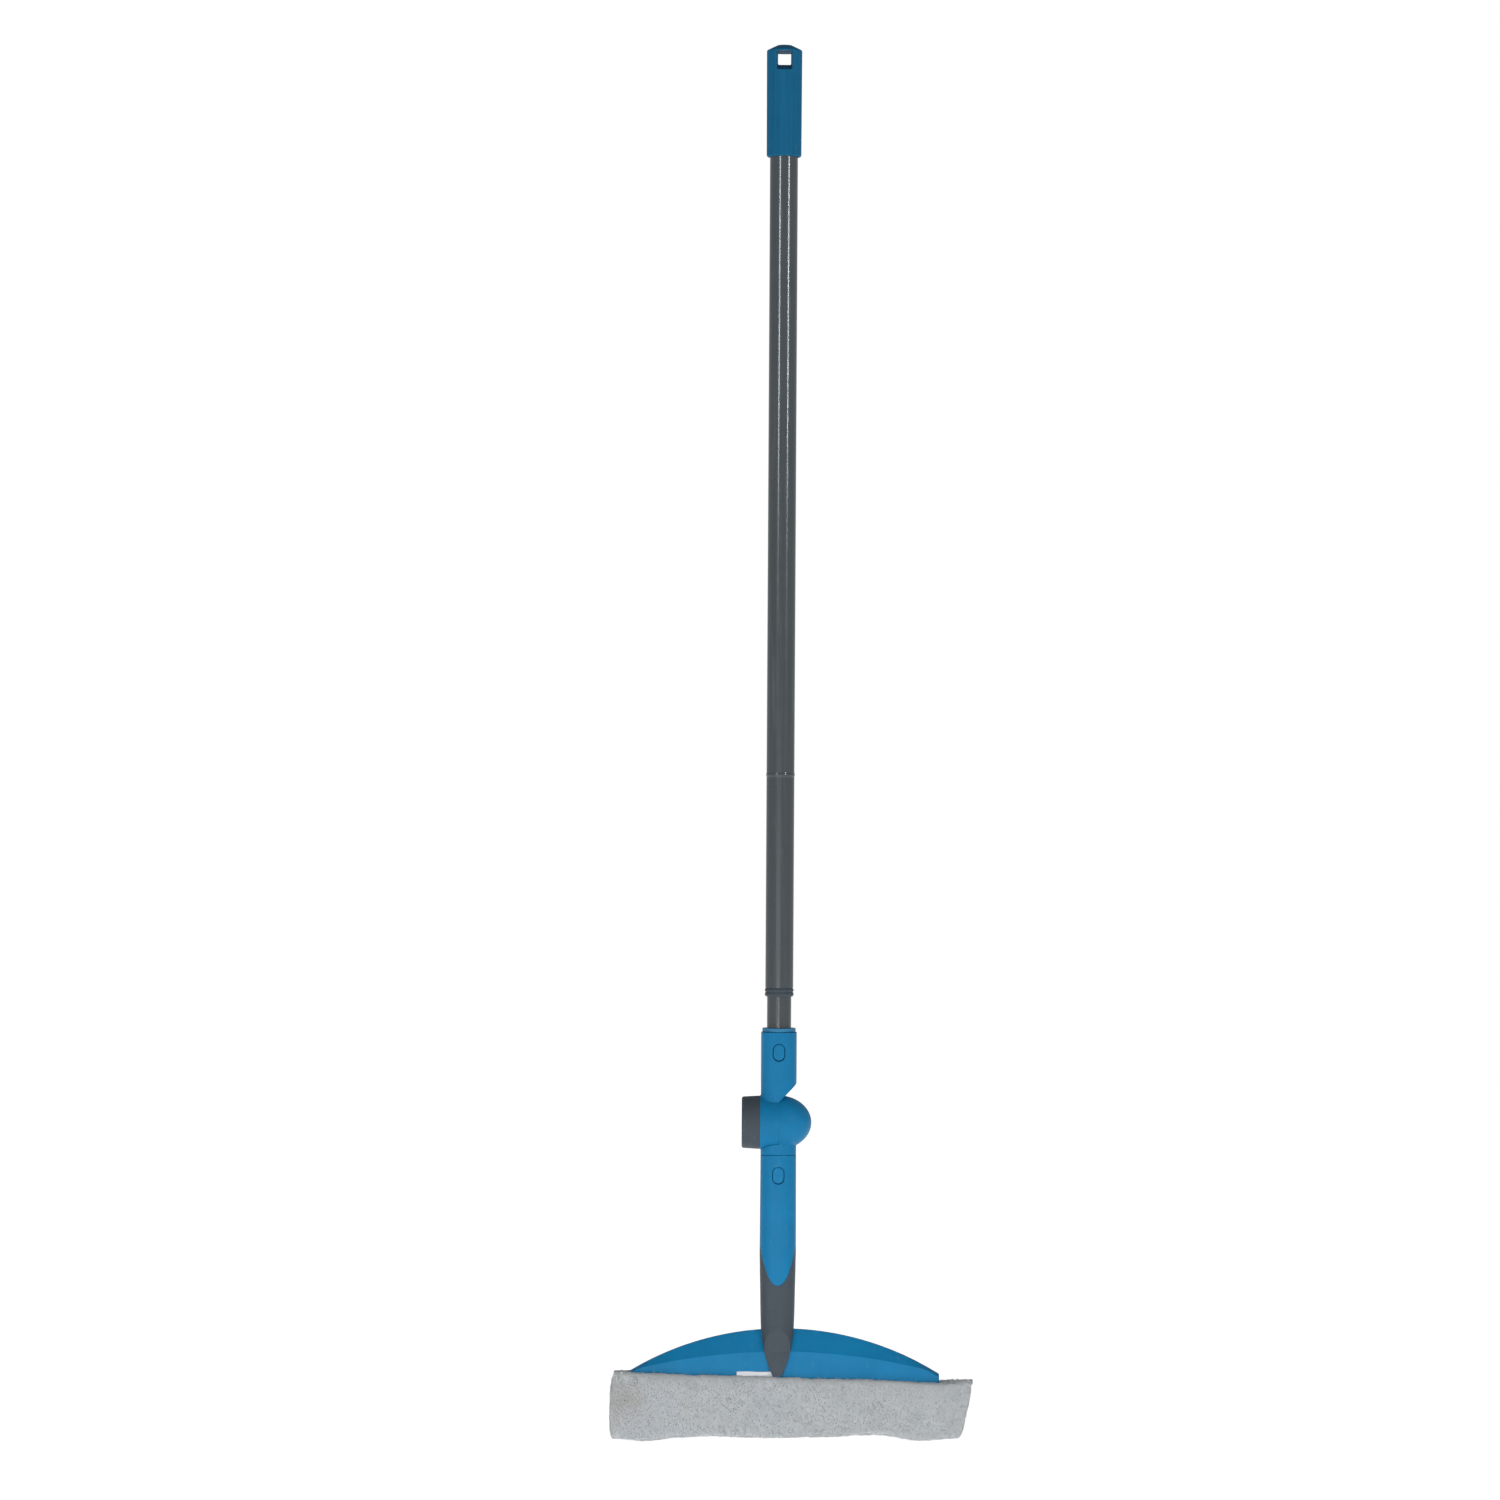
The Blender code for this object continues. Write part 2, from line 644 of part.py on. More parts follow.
def click_button(name, socket_top):
    """An oval button that stands in the socket's hole, with a flange behind the spigot's wall."""
    z = socket_top - BUTTON_BELOW_SOCKET
    half = BUTTON_WIDTH / 2 + BUTTON_FLANGE
    seat = -math.sqrt(SPIGOT_BORE**2 - half**2) + GAP
    front = -SOCKET_HALF_DEPTH
    back = seat + BUTTON_FLANGE_THICKNESS
    face = plate(name, stadium(BUTTON_WIDTH, BUTTON_HEIGHT, z), front, back, "Y", "blue_plastic")
    oval = stadium(BUTTON_WIDTH + 2 * BUTTON_FLANGE, BUTTON_HEIGHT + 2 * BUTTON_FLANGE, z)
    join(face, plate(name + "_flange", oval, seat, back, "Y"))
    return back


def button_spring(name, socket_top, button_back):
    """A bent leaf that pushes the button out from the spigot's far wall."""
    z = socket_top - BUTTON_BELOW_SOCKET
    near = button_back + GAP + LEAF_THICKNESS / 2
    far = math.sqrt(SPIGOT_BORE**2 - (LEAF_WIDTH / 2) ** 2) - GAP - LEAF_THICKNESS / 2
    pad = BUTTON_HEIGHT / 4
    bend = LEAF_DROP / 8
    line = [
        (near, z + pad),
        (near, z - pad),
        (far - bend, z - LEAF_DROP + bend / 2),
        (far - bend / 3, z - LEAF_DROP + bend / 3),
        (far, z - LEAF_DROP + bend),
        (far, z + pad),
    ]
    half = LEAF_WIDTH / 2
    mesh = bpy.data.meshes.new(name)
    points = [(side * half, y, height) for y, height in line for side in (-1, 1)]
    mesh.from_pydata(points, [], [(2 * i, 2 * i + 1, 2 * i + 3, 2 * i + 2) for i in range(len(line) - 1)])
    leaf = put(name, mesh, "zinc_steel")
    solid = leaf.modifiers.new("leaf", "SOLIDIFY")
    solid.thickness = LEAF_THICKNESS
    solid.offset = 0
    solid.use_even_offset = True
    return leaf


def pole_plug():
    """The blue plug in the inner tube's end: a stub in the tube, a collar and the click spigot."""
    stub = INNER_TUBE_BORE - RUNNING
    shoulder = COLLAR_TOP_Z - COLLAR_HEIGHT
    profile = [
        (0, COLLAR_TOP_Z + STUB_LENGTH),
        (stub, COLLAR_TOP_Z + STUB_LENGTH),
        (stub, COLLAR_TOP_Z),
        (COLLAR_RADIUS - GAP, COLLAR_TOP_Z),
        (COLLAR_RADIUS, COLLAR_TOP_Z - GAP),
        (COLLAR_RADIUS, shoulder),
    ] + spigot_profile(shoulder, shoulder - SPIGOT_ROOF)
    plug = turned("pole_plug", profile, "blue_plastic")
    return cut(plug, button_hole("plug_hole", SOCKET_TOP_Z, -SPIGOT_RADIUS - PAST, 0))


# ---------------------------------------------------------------- joint


def joint_upper():
    """The socket that takes the pole, and the disc that the knob clamps."""
    body = loft(
        "joint_upper",
        [section(z, SOCKET_HALF_WIDTH, SOCKET_HALF_DEPTH) for z in (SOCKET_TOP_Z, HINGE_Z + OVERLAP)],
        "blue_plastic",
    )
    reach = 2 * DOME_LENGTH
    corner = HINGE_Z + SOCKET_CUT_UP
    top = corner + SOCKET_CUT_SLOPE * reach
    slant = [(OVERLAP, corner), (OVERLAP, HINGE_Z - reach), (reach, HINGE_Z - reach), (reach, top)]
    bore_foot = SOCKET_TOP_Z - SOCKET_DEPTH
    bore = rod("pole_socket", SOCKET_BORE, bore_foot, SOCKET_TOP_Z + PAST, steps=LARGE_ROUND)
    bolt = rod("bolt_room_upper", BOLT_BORE, DISC_LEFT_X - PAST, PAST, along="X")
    washer = rod("washer_room", WASHER_RADIUS + GAP, DISC_LEFT_X - PAST, WASHER_FLOOR_X, along="X")
    friction = ring(
        "friction_room",
        FRICTION_RING_RADIUS + GAP,
        FRICTION_RING_BORE - GAP,
        FRICTION_FLOOR_X,
        PAST,
        along="X",
    )
    hole = button_hole("upper_button_room", SOCKET_TOP_Z, -SOCKET_HALF_DEPTH - PAST, 0)
    dome = rod("dome_room", DOME_RADIUS + PIVOT_CLEAR, DISC_RIGHT_X, reach, steps=LARGE_ROUND, along="X")
    cut(body, bore, hole, plate("slanted_end", slant, -2 * DOME_RADIUS, 2 * DOME_RADIUS, "Y"))
    join(body, rod("joint_disc", PIVOT_RADIUS, DISC_LEFT_X, OVERLAP, steps=LARGE_ROUND, along="X"))
    return cut(body, dome, bolt, washer, friction)


def joint_lower():
    """The domed half with the nut's slot, the neck below it and the spigot that the washer clicks on to."""
    run = DOME_LENGTH - DOME_LEFT_X
    dome = [(0, DOME_LENGTH)]
    for i in range(1, DOME_STEPS + 1):
        angle = math.pi / 2 * i / DOME_STEPS
        dome.append((DOME_RADIUS * math.sin(angle), DOME_LEFT_X + run * math.cos(angle)))
    dome.append((0, DOME_LEFT_X))
    body = turned("joint_lower", dome, "blue_plastic", along="X")
    neck_foot = HANDLE_TOP_Z + GAP
    neck = loft(
        "joint_neck",
        [section(z, SOCKET_HALF_WIDTH, SOCKET_HALF_DEPTH) for z in (neck_foot, HINGE_Z - DOME_RADIUS / 2)],
    )
    room = PIVOT_RADIUS + PIVOT_CLEAR
    cut(neck, rod("disc_room", room, -2 * DOME_LENGTH, DOME_LEFT_X + OVERLAP, steps=LARGE_ROUND, along="X"))
    overlap = neck_foot + OVERLAP
    spigot = turned("joint_spigot", [(0, overlap), (SPIGOT_RADIUS, overlap)] + spigot_profile(
        neck_foot, neck_foot - SPIGOT_ROOF)[1:])
    join(body, neck, spigot)
    half = NUT_WIDTH / 2 + GAP
    low = (NUT_FROM_FACE - GAP, -half, HINGE_Z - half)
    high = (NUT_FROM_FACE + NUT_THICKNESS + GAP, DOME_RADIUS + PAST, HINGE_Z + half)
    cut(
        body,
        rod("bolt_room_lower", BOLT_BORE, -PAST, BOLT_IN_DOME + 2 * GAP, along="X"),
        box("nut_slot", low, high),
        button_hole("spigot_hole", HANDLE_TOP_Z, -SPIGOT_RADIUS - PAST, 0),
    )
    return body


def clamp():
    """The steel bolt and nut, the washer and the friction ring between the halves."""
    shank_left = BOLT_HEAD_FLOOR_X - GAP - OVERLAP
    shank = rod("clamp_bolt", BOLT_RADIUS, shank_left, BOLT_IN_DOME, "zinc_steel", along="X")
    head_left = COVER_FLOOR_X + GAP
    head = rod("bolt_head", BOLT_HEAD_RADIUS, head_left, head_left + BOLT_HEAD_HEIGHT, steps=6, along="X")
    join(shank, head)
    half = NUT_WIDTH / 2
    nut = box(
        "clamp_nut",
        (NUT_FROM_FACE, -half, HINGE_Z - half),
        (NUT_FROM_FACE + NUT_THICKNESS, half, HINGE_Z + half),
        "zinc_steel",
    )
    nut_back = NUT_FROM_FACE + 2 * PAST
    cut(nut, rod("nut_thread", BOLT_RADIUS + RUNNING, NUT_FROM_FACE - PAST, nut_back, along="X"))
    ring(
        "thrust_washer",
        WASHER_RADIUS,
        BOLT_BORE,
        WASHER_LEFT_X,
        WASHER_LEFT_X + WASHER_THICKNESS,
        "zinc_steel",
        SMALL_ROUND,
        along="X",
    )
    ring(
        "friction_ring",
        FRICTION_RING_RADIUS,
        FRICTION_RING_BORE,
        FRICTION_RING_X,
        FRICTION_RING_X + FRICTION_RING_THICKNESS,
        "black_plastic",
        along="X",
    )


def knob():
    """The grey knob, hollow towards the joint, with the bolt's hexagon under a cover."""
    left_radius = KNOB_RADIUS - KNOB_TAPER
    hollow = KNOB_RIGHT_X - KNOB_HOLLOW
    profile = [
        (KNOB_RADIUS, KNOB_RIGHT_X),
        (left_radius, KNOB_LEFT_X + KNOB_EDGE),
        (left_radius - 0.3 * KNOB_EDGE, KNOB_LEFT_X + 0.3 * KNOB_EDGE),
        (left_radius - KNOB_EDGE, KNOB_LEFT_X),
        (KNOB_COVER_RADIUS + GAP, KNOB_LEFT_X),
        (KNOB_COVER_RADIUS + GAP, COVER_FLOOR_X),
        (BOLT_BORE, COVER_FLOOR_X),
        (BOLT_BORE, KNOB_BOSS_X),
        (KNOB_BOSS_RADIUS, KNOB_BOSS_X),
        (KNOB_BOSS_RADIUS, hollow),
        (KNOB_RADIUS - KNOB_RIM, hollow),
        (KNOB_RADIUS - KNOB_RIM, KNOB_RIGHT_X),
    ]
    body = turned("knob", profile, "grey_plastic", along="X")
    hexagon_left = COVER_FLOOR_X - GAP
    cut(body, rod("hexagon", BOLT_HEAD_RADIUS + GAP, hexagon_left, BOLT_HEAD_FLOOR_X, steps=6, along="X"))
    edge = KNOB_COVER_RADIUS - GAP
    turned(
        "knob_cover",
        [
            (0, COVER_FLOOR_X - GAP),
            (KNOB_COVER_RADIUS, COVER_FLOOR_X - GAP),
            (KNOB_COVER_RADIUS, KNOB_LEFT_X + GAP),
            (edge, KNOB_LEFT_X),
            (0, KNOB_LEFT_X),
        ],
        "grey_plastic",
        along="X",
    )


# ---------------------------------------------------------------- washer


def handle_rings():
    """Sections of the handle's outer form, from its top down to the crescent."""
    rings = [
        section(HANDLE_TOP_Z, SOCKET_HALF_WIDTH, SOCKET_HALF_DEPTH),
        section(neck_height(0) + WIDEST_ABOVE_SIDES, HANDLE_HALF_WIDTH, HANDLE_HALF_DEPTH),
    ]
    for share, half_width, half_depth in NECK_SECTIONS:
        rings.append(section(neck_height(share), half_width, half_depth))
    return rings


def neck_height(share):
    return HANDLE_TOP_Z - SHELL_SIDE_LENGTH - share * (HANDLE_TO_HEAD - SHELL_SIDE_LENGTH)


def shell_edge(name, drop):
    """What lies below the blue shell's end: a ridge across X, sloping to the front and to the back."""
    side = HANDLE_TOP_Z - SHELL_SIDE_LENGTH - drop
    slope = SHELL_TONGUE / HANDLE_HALF_DEPTH
    reach = 2 * HANDLE_HALF_DEPTH
    floor = HANDLE_TOP_Z - 2 * HANDLE_TO_HEAD
    low = side - slope * reach
    outline = [(0, side), (-reach, low), (-reach, floor), (reach, floor), (reach, low)]
    return plate(name, outline, -2 * HANDLE_HALF_WIDTH, 2 * HANDLE_HALF_WIDTH, "X")


def handle_shell():
    """The blue socket of the washer. Its lower end is cut to a tongue at the front and at the back."""
    shell = loft("handle_shell", handle_rings(), "blue_plastic")
    socket = HANDLE_TOP_Z - SOCKET_DEPTH
    end = HANDLE_TOP_Z - HANDLE_TO_HEAD - PAST
    core_room = CORE_RADIUS + GAP
    cut(
        shell,
        shell_edge("below_shell", 0),
        rod("spigot_room", SOCKET_BORE, socket, HANDLE_TOP_Z + PAST, steps=LARGE_ROUND),
        rod("core_room", core_room, end, socket + OVERLAP, steps=LARGE_ROUND),
        button_hole("lower_button_room", HANDLE_TOP_Z, -SOCKET_HALF_DEPTH - PAST, 0),
    )
    return shell


def tongue_rings():
    """Sections of the neck's two tongues, from the foot of the handle to their tips on the crescent."""
    share, start_width, start_depth = NECK_SECTIONS[-1]
    start = neck_height(share)
    length = start - COVER_TOP_Z - TONGUE_ABOVE_COVER
    rings = []
    for i in range(1, TONGUE_STEPS + 1):
        share = (i / TONGUE_STEPS) ** 0.8
        z = start - length * share
        width = max(TONGUE_TIP_HALF_WIDTH, start_width * (1 - share**1.8) ** 0.6)
        depth = max(start_depth, head_half_depth(z) + TONGUE_PROUD)
        square = SOCKET_SQUARENESS + (TONGUE_SQUARENESS - SOCKET_SQUARENESS) * min(1.0, 2 * share)
        rings.append(section(z, width, depth, square))
    return rings


def handle_neck():
    """The grey neck: a core in the blue shell, the flush lower handle and the fork over the crescent."""
    neck = loft("handle_neck", handle_rings() + tongue_rings(), "grey_plastic")
    boolean(neck, shell_edge("neck_zone", GAP), "INTERSECT")
    core_foot = HANDLE_TOP_Z - SHELL_SIDE_LENGTH - SHELL_TONGUE - OVERLAP
    join(neck, rod("neck_core", CORE_RADIUS, core_foot, HANDLE_TOP_Z - CORE_TOP, steps=LARGE_ROUND))
    cut(neck, crescent("fork_room", GAP))
    return cut(neck, screw_holes("fork_screw_hole", SCREW_RADIUS + GAP, 0, 2 * HEAD_FOOT_HALF_DEPTH, [0]))


def head_edges(x, grow=0.0):
    """The crescent's outline at a place along X: (half depth, height) of its top, facet line and foot."""
    share = abs(x) / HEAD_HALF_LENGTH
    slim = HEAD_END_SLIMMING * share**3
    top = HEAD_TOP_Z - HEAD_TOP_ARC + math.sqrt(HEAD_TOP_ARC**2 - x**2)
    facet = HEAD_TOP_Z - HEAD_FACET_DROP - HEAD_FACET_ARC + math.sqrt(HEAD_FACET_ARC**2 - x**2)
    top = max(top, HEAD_FOOT_Z + HEAD_END_WALL)
    facet = min(facet, top - HEAD_END_WALL / 4)
    facet_depth = HEAD_FACET_HALF_DEPTH - slim
    top_depth = HEAD_TOP_HALF_DEPTH + (facet_depth - HEAD_TOP_HALF_DEPTH) * 0.6 * share**4
    return (
        (top_depth + grow, top + grow),
        (facet_depth + grow, facet),
        (HEAD_FOOT_HALF_DEPTH - slim + grow, HEAD_FOOT_Z),
    )


def head_half_depth(z):
    """The crescent's half depth at a height, in its middle."""
    (top_depth, top), (facet_depth, facet), (foot_depth, foot) = head_edges(0)
    if z >= facet:
        share = min(1.0, (top - z) / (top - facet))
        return top_depth + (facet_depth - top_depth) * share
    return facet_depth + (foot_depth - facet_depth) * (facet - z) / (facet - foot)


def head_xs(half_length):
    return [half_length * (2 * i / HEAD_STATIONS - 1) for i in range(HEAD_STATIONS + 1)]


def crescent(name, grow, foot_drop=0.0):
    """The whole crescent as one solid, grown by a margin or, if it is negative, shrunk."""
    rings = []
    for x in head_xs(HEAD_HALF_LENGTH + grow):
        inner = max(-HEAD_HALF_LENGTH, min(HEAD_HALF_LENGTH, x))
        top, facet, foot = head_edges(inner, grow)
        foot = (foot[0], HEAD_FOOT_Z - max(grow, 0) - foot_drop)
        right = [top, facet, foot]
        outline = [(-depth, z) for depth, z in right] + [(depth, z) for depth, z in reversed(right)]
        rings.append([Vector((x, y, z)) for y, z in outline])
    return loft(name, rings)


def screw_holes(name, radius, near, far, xs=SCREW_XS):
    """A cylinder along Y for each screw in the row."""
    holes = []
    for x in xs:
        hole = rod(name, radius, near, far, along="Y")
        hole.location.x = x
        holes.append(hole)
    return together(name, holes)


def head_shell(name, side, *bores):
    """Half of the crescent: side is -1 for the front and 1 for the back. A boss for each screw is left in its
    hollow, from the wall to the bar's rib, and the bores run through the bosses."""
    parting = side * GAP / 2
    rings = []
    for x in head_xs(HEAD_HALF_LENGTH):
        top, facet, foot = head_edges(x)
        outer = [(side * depth, z) for depth, z in (top, facet, foot)]
        outline = [(parting, top[1])] + outer + [(parting, foot[1])]
        rings.append([Vector((x, y, z)) for y, z in outline])
    shell = loft(name, rings, "blue_plastic")
    hollow = crescent(name + "_hollow", -HEAD_WALL, foot_drop=PAST)
    ends = (side * (BAR_RIB_THICKNESS / 2 + GAP), side * (HEAD_FOOT_HALF_DEPTH + PAST))
    cut(hollow, screw_holes(name + "_bosses", SCREW_BOSS_RADIUS, min(ends), max(ends)))
    join(hollow, *bores)
    return cut(shell, hollow)


def head_front():
    """The front half of the crescent, with a blind bore in each boss."""
    threads = screw_holes("front_threads", SCREW_RADIUS + RUNNING, screw_tip() - GAP, 0)
    return head_shell("head_front", -1, threads)


def screw_tip():
    """Where the screws end, along Y, inside the front wall."""
    return -head_half_depth(SCREW_Z) + HEAD_END_SLIMMING + HEAD_WALL


def screw_seat(x):
    """Where a screw's head sits, along Y: on the back tongue in the middle, and sunk in the back shell
    elsewhere."""
    if x == 0:
        return head_half_depth(SCREW_Z) + TONGUE_PROUD + GAP
    return head_half_depth(SCREW_Z) - HEAD_WALL


def head_back():
    """The back half of the crescent, with a hole through each boss and a sunk seat for each screw's head."""
    far = HEAD_FOOT_HALF_DEPTH + PAST
    sunk = [x for x in SCREW_XS if x]
    holes = screw_holes("back_holes", SCREW_RADIUS + GAP, 0, far)
    seats = screw_holes("back_seats", SCREW_HEAD_RADIUS + GAP, screw_seat(sunk[0]) - GAP, far + OVERLAP, sunk)
    return head_shell("head_back", 1, holes, seats)


def head_screws():
    """Five pan-head screws, driven in from the back."""
    tip = screw_tip()
    for i, x in enumerate(SCREW_XS):
        seat = screw_seat(x)
        profile = [
            (0, SCREW_HEAD_HEIGHT),
            (0.6 * SCREW_HEAD_RADIUS, SCREW_HEAD_HEIGHT),
            (SCREW_HEAD_RADIUS, 0.4 * SCREW_HEAD_HEIGHT),
            (SCREW_HEAD_RADIUS, 0),
            (SCREW_RADIUS, 0),
            (SCREW_RADIUS, tip - seat + SCREW_RADIUS),
            (0, tip - seat),
        ]
        screw = turned(f"head_screw_{i + 1}", profile, "zinc_steel", SMALL_ROUND - 4, along="Y")
        screw.location.x = x
        screw.location.y = seat


def cover_bar():
    """The bar that fills the cover, with a rib that is held between the crescent's halves."""
    half = BAR_THICKNESS / 2
    outline = rounded(-BAR_HALF_LENGTH, BAR_HALF_LENGTH, BAR_FOOT_Z, BAR_TOP_Z, BAR_CORNER)
    bar = plate("cover_bar", outline, -half, half, "Y", "black_plastic")
    rib = BAR_RIB_THICKNESS / 2
    rib_top = min(HEAD_FOOT_Z + BAR_RIB_HEIGHT, head_edges(BAR_RIB_HALF_LENGTH)[0][1] - HEAD_WALL - GAP)
    low = (-BAR_RIB_HALF_LENGTH, -rib, BAR_TOP_Z - OVERLAP)
    join(bar, box("bar_rib", low, (BAR_RIB_HALF_LENGTH, rib, rib_top)))
    cut(bar, screw_holes("rib_holes", SCREW_RADIUS + GAP, -BAR_THICKNESS, BAR_THICKNESS))
    slots = []
    middle = BAR_TOP_Z - BAR_CORNER - BAR_SLOT_HEIGHT / 2
    for i in (-1, 0, 1):
        x, length = i * BAR_SLOT_SPACING, BAR_SLOT_LENGTH / 2
        slot = rounded(
            x - length,
            x + length,
            middle - BAR_SLOT_HEIGHT / 2,
            middle + BAR_SLOT_HEIGHT / 2,
            BAR_SLOT_HEIGHT / 3,
        )
        slots.append(plate("bar_slot", slot, -BAR_THICKNESS, BAR_THICKNESS, "Y"))
    return cut(bar, together("bar_slots", slots))


def hook_strips():
    """Hook tape on both faces of the bar, which grips the cover's lining."""
    low_z = BAR_FOOT_Z + HOOK_STRIP_UP
    for name, side in (("hook_strip_front", -1), ("hook_strip_back", 1)):
        near = side * (BAR_THICKNESS / 2 + GAP)
        far = near + side * HOOK_STRIP_THICKNESS
        box(
            name,
            (-HOOK_STRIP_HALF_LENGTH, min(near, far), low_z),
            (HOOK_STRIP_HALF_LENGTH, max(near, far), low_z + HOOK_STRIP_HEIGHT),
            "white_tape",
        )


def fleece_cover():
    """The cover: a pocket of thick fleece, open at the top for the crescent's foot."""
    left, right = COVER_SHIFT - COVER_HALF_LENGTH, COVER_SHIFT + COVER_HALF_LENGTH
    cover = box(
        "fleece_cover",
        (left, -COVER_HALF_DEPTH, COVER_FOOT_Z),
        (right, COVER_HALF_DEPTH, COVER_TOP_Z),
        "fleece",
    )
    bevel(cover, COVER_EDGE, 2)
    step = HEAD_FOOT_Z - 2 * GAP
    wide = HEAD_FOOT_HALF_DEPTH + GAP
    narrow = BAR_THICKNESS / 2 + HOOK_STRIP_THICKNESS + 2 * GAP
    head_end, bar_end = HEAD_HALF_LENGTH + GAP, BAR_HALF_LENGTH + GAP
    pocket = box("bar_pocket", (-bar_end, -narrow, BAR_FOOT_Z - GAP), (bar_end, narrow, COVER_TOP_Z + PAST))
    mouth = box("head_pocket", (-head_end, -wide, step), (head_end, wide, COVER_TOP_Z + PAST))
    return cut(cover, pocket, mouth)


def cover_label():
    """A blank woven label, sewn into the cover's upper edge and lying on the crescent."""
    depth = head_half_depth(COVER_TOP_Z) + GAP
    low_z = COVER_TOP_Z + GAP
    return box(
        "cover_label",
        (LABEL_CENTRE - LABEL_WIDTH / 2, -depth - LABEL_THICKNESS, low_z),
        (LABEL_CENTRE + LABEL_WIDTH / 2, -depth, low_z + LABEL_HEIGHT),
        "white_tape",
    )


def main():
    clear_scene()
    for name, values in FINISHES.items():
        finish(name, *values)
    end_cap()
    outer_tube()
    guide_bush()
    inner_tube()
    twist_lock()
    pole_plug()
    joint_upper()
    joint_lower()
    clamp()
    knob()
    for place, top in (("upper", SOCKET_TOP_Z), ("lower", HANDLE_TOP_Z)):
        back = click_button(f"button_{place}", top)
        button_spring(f"button_spring_{place}", top, back)
    handle_shell()
    handle_neck()
    head_front()
    head_back()
    head_screws()
    cover_bar()
    hook_strips()
    fleece_cover()
    cover_label()
    for obj in bpy.data.collections[PART].objects:
        smooth(obj)


main()
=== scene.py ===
"""The visible pieces of a window washer on a telescopic pole, and the stage that it is shown on.

The frame gives every place: +Z is up, the pole hangs along -Z from its hang hole, the head runs along X
and the front looks along -Y. A finished piece keeps its place in its mesh, and rides on the body of the
frame's node that it stands for.
"""

import math

import bmesh
import bpy
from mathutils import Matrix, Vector


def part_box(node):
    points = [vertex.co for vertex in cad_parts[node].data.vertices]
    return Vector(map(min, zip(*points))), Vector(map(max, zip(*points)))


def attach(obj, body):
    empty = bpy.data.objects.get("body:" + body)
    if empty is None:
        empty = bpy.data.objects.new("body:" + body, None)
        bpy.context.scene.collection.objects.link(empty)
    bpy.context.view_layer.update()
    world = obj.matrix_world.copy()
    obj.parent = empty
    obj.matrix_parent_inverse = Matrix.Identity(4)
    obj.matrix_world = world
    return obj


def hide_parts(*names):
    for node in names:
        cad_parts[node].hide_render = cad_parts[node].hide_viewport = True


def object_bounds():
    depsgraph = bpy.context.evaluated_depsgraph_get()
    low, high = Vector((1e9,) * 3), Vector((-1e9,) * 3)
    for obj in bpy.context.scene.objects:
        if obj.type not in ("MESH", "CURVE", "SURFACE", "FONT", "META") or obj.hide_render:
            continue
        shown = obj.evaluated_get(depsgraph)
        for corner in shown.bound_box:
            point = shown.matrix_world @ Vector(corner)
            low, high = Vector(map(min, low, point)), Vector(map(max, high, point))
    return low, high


bl_info = {
    "name": "Window Washer",
    "version": (1, 0, 0),
    "blender": (4, 5, 0),
    "location": "View3D > Sidebar > Washer",
    "description": "Models the visible pieces of a window washer with a telescopic pole, over its frame",
    "category": "Object",
}

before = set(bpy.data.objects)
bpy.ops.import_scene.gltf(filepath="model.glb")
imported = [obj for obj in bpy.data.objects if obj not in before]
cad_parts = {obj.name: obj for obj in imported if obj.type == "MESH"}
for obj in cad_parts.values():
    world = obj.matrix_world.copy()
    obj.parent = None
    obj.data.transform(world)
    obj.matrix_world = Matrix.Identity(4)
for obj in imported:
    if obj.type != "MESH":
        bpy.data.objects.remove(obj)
frame_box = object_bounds()

MM = 0.001

# Places and sizes that the frame gives
CAP_LOW, CAP_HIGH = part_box("end_cap")
TUBE_LOW, TUBE_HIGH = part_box("outer_tube")
BUSH_LOW, BUSH_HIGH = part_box("guide_bush")
INNER_LOW, INNER_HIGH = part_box("inner_tube")
PLUG_LOW, PLUG_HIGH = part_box("pole_plug")
SOCKET_LOW, SOCKET_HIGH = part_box("joint_upper")
DOME_LOW, DOME_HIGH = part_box("joint_lower")
KNOB_LOW, KNOB_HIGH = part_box("knob")
COVER_DISC_LOW, COVER_DISC_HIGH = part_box("knob_cover")
WASHER_LOW, WASHER_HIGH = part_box("thrust_washer")
RING_LOW, RING_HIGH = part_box("friction_ring")
NUT_LOW, NUT_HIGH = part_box("clamp_nut")
UPPER_BUTTON_LOW, UPPER_BUTTON_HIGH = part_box("button_upper")
LOWER_BUTTON_LOW, LOWER_BUTTON_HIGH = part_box("button_lower")
SHELL_LOW, SHELL_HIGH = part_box("handle_shell")
NECK_LOW, NECK_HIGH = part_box("handle_neck")
HEAD_LOW, HEAD_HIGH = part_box("head_front")
SCREW_LOW, SCREW_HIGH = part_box("head_screw_1")
BAR_LOW, BAR_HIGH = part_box("cover_bar")
FLEECE_LOW, FLEECE_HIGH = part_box("fleece_cover")
LABEL_LOW, LABEL_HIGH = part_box("cover_label")

HINGE_Z = (KNOB_LOW.z + KNOB_HIGH.z) / 2
CAP_RADIUS = CAP_HIGH.x
TUBE_RADIUS = 12.7 * MM
INNER_RADIUS = INNER_HIGH.x
TUBE_WALL = 0.6 * MM
SPIGOT_RADIUS = 12.2 * MM
SPIGOT_BORE = 9.6 * MM
SPIGOT_LENGTH = 45.0 * MM
SOCKET_BORE = SPIGOT_RADIUS + 0.3 * MM
SOCKET_DEPTH = 47.0 * MM
SOCKET_HALF_WIDTH = 16.25 * MM
SOCKET_HALF_DEPTH = 15.6 * MM
BUTTON_GAP = 0.6 * MM
DISC_RADIUS = 24.55 * MM
DOME_RADIUS = 24.6 * MM
DISC_LEFT_X = -16.85 * MM
HANDLE_TOP_Z = SHELL_HIGH.z
HEAD_TOP_Z = HEAD_HIGH.z
HEAD_FOOT_Z = HEAD_LOW.z
FOLD_Z = HEAD_TOP_Z - 19.9 * MM
SCREW_Z = HEAD_FOOT_Z + 13.0 * MM
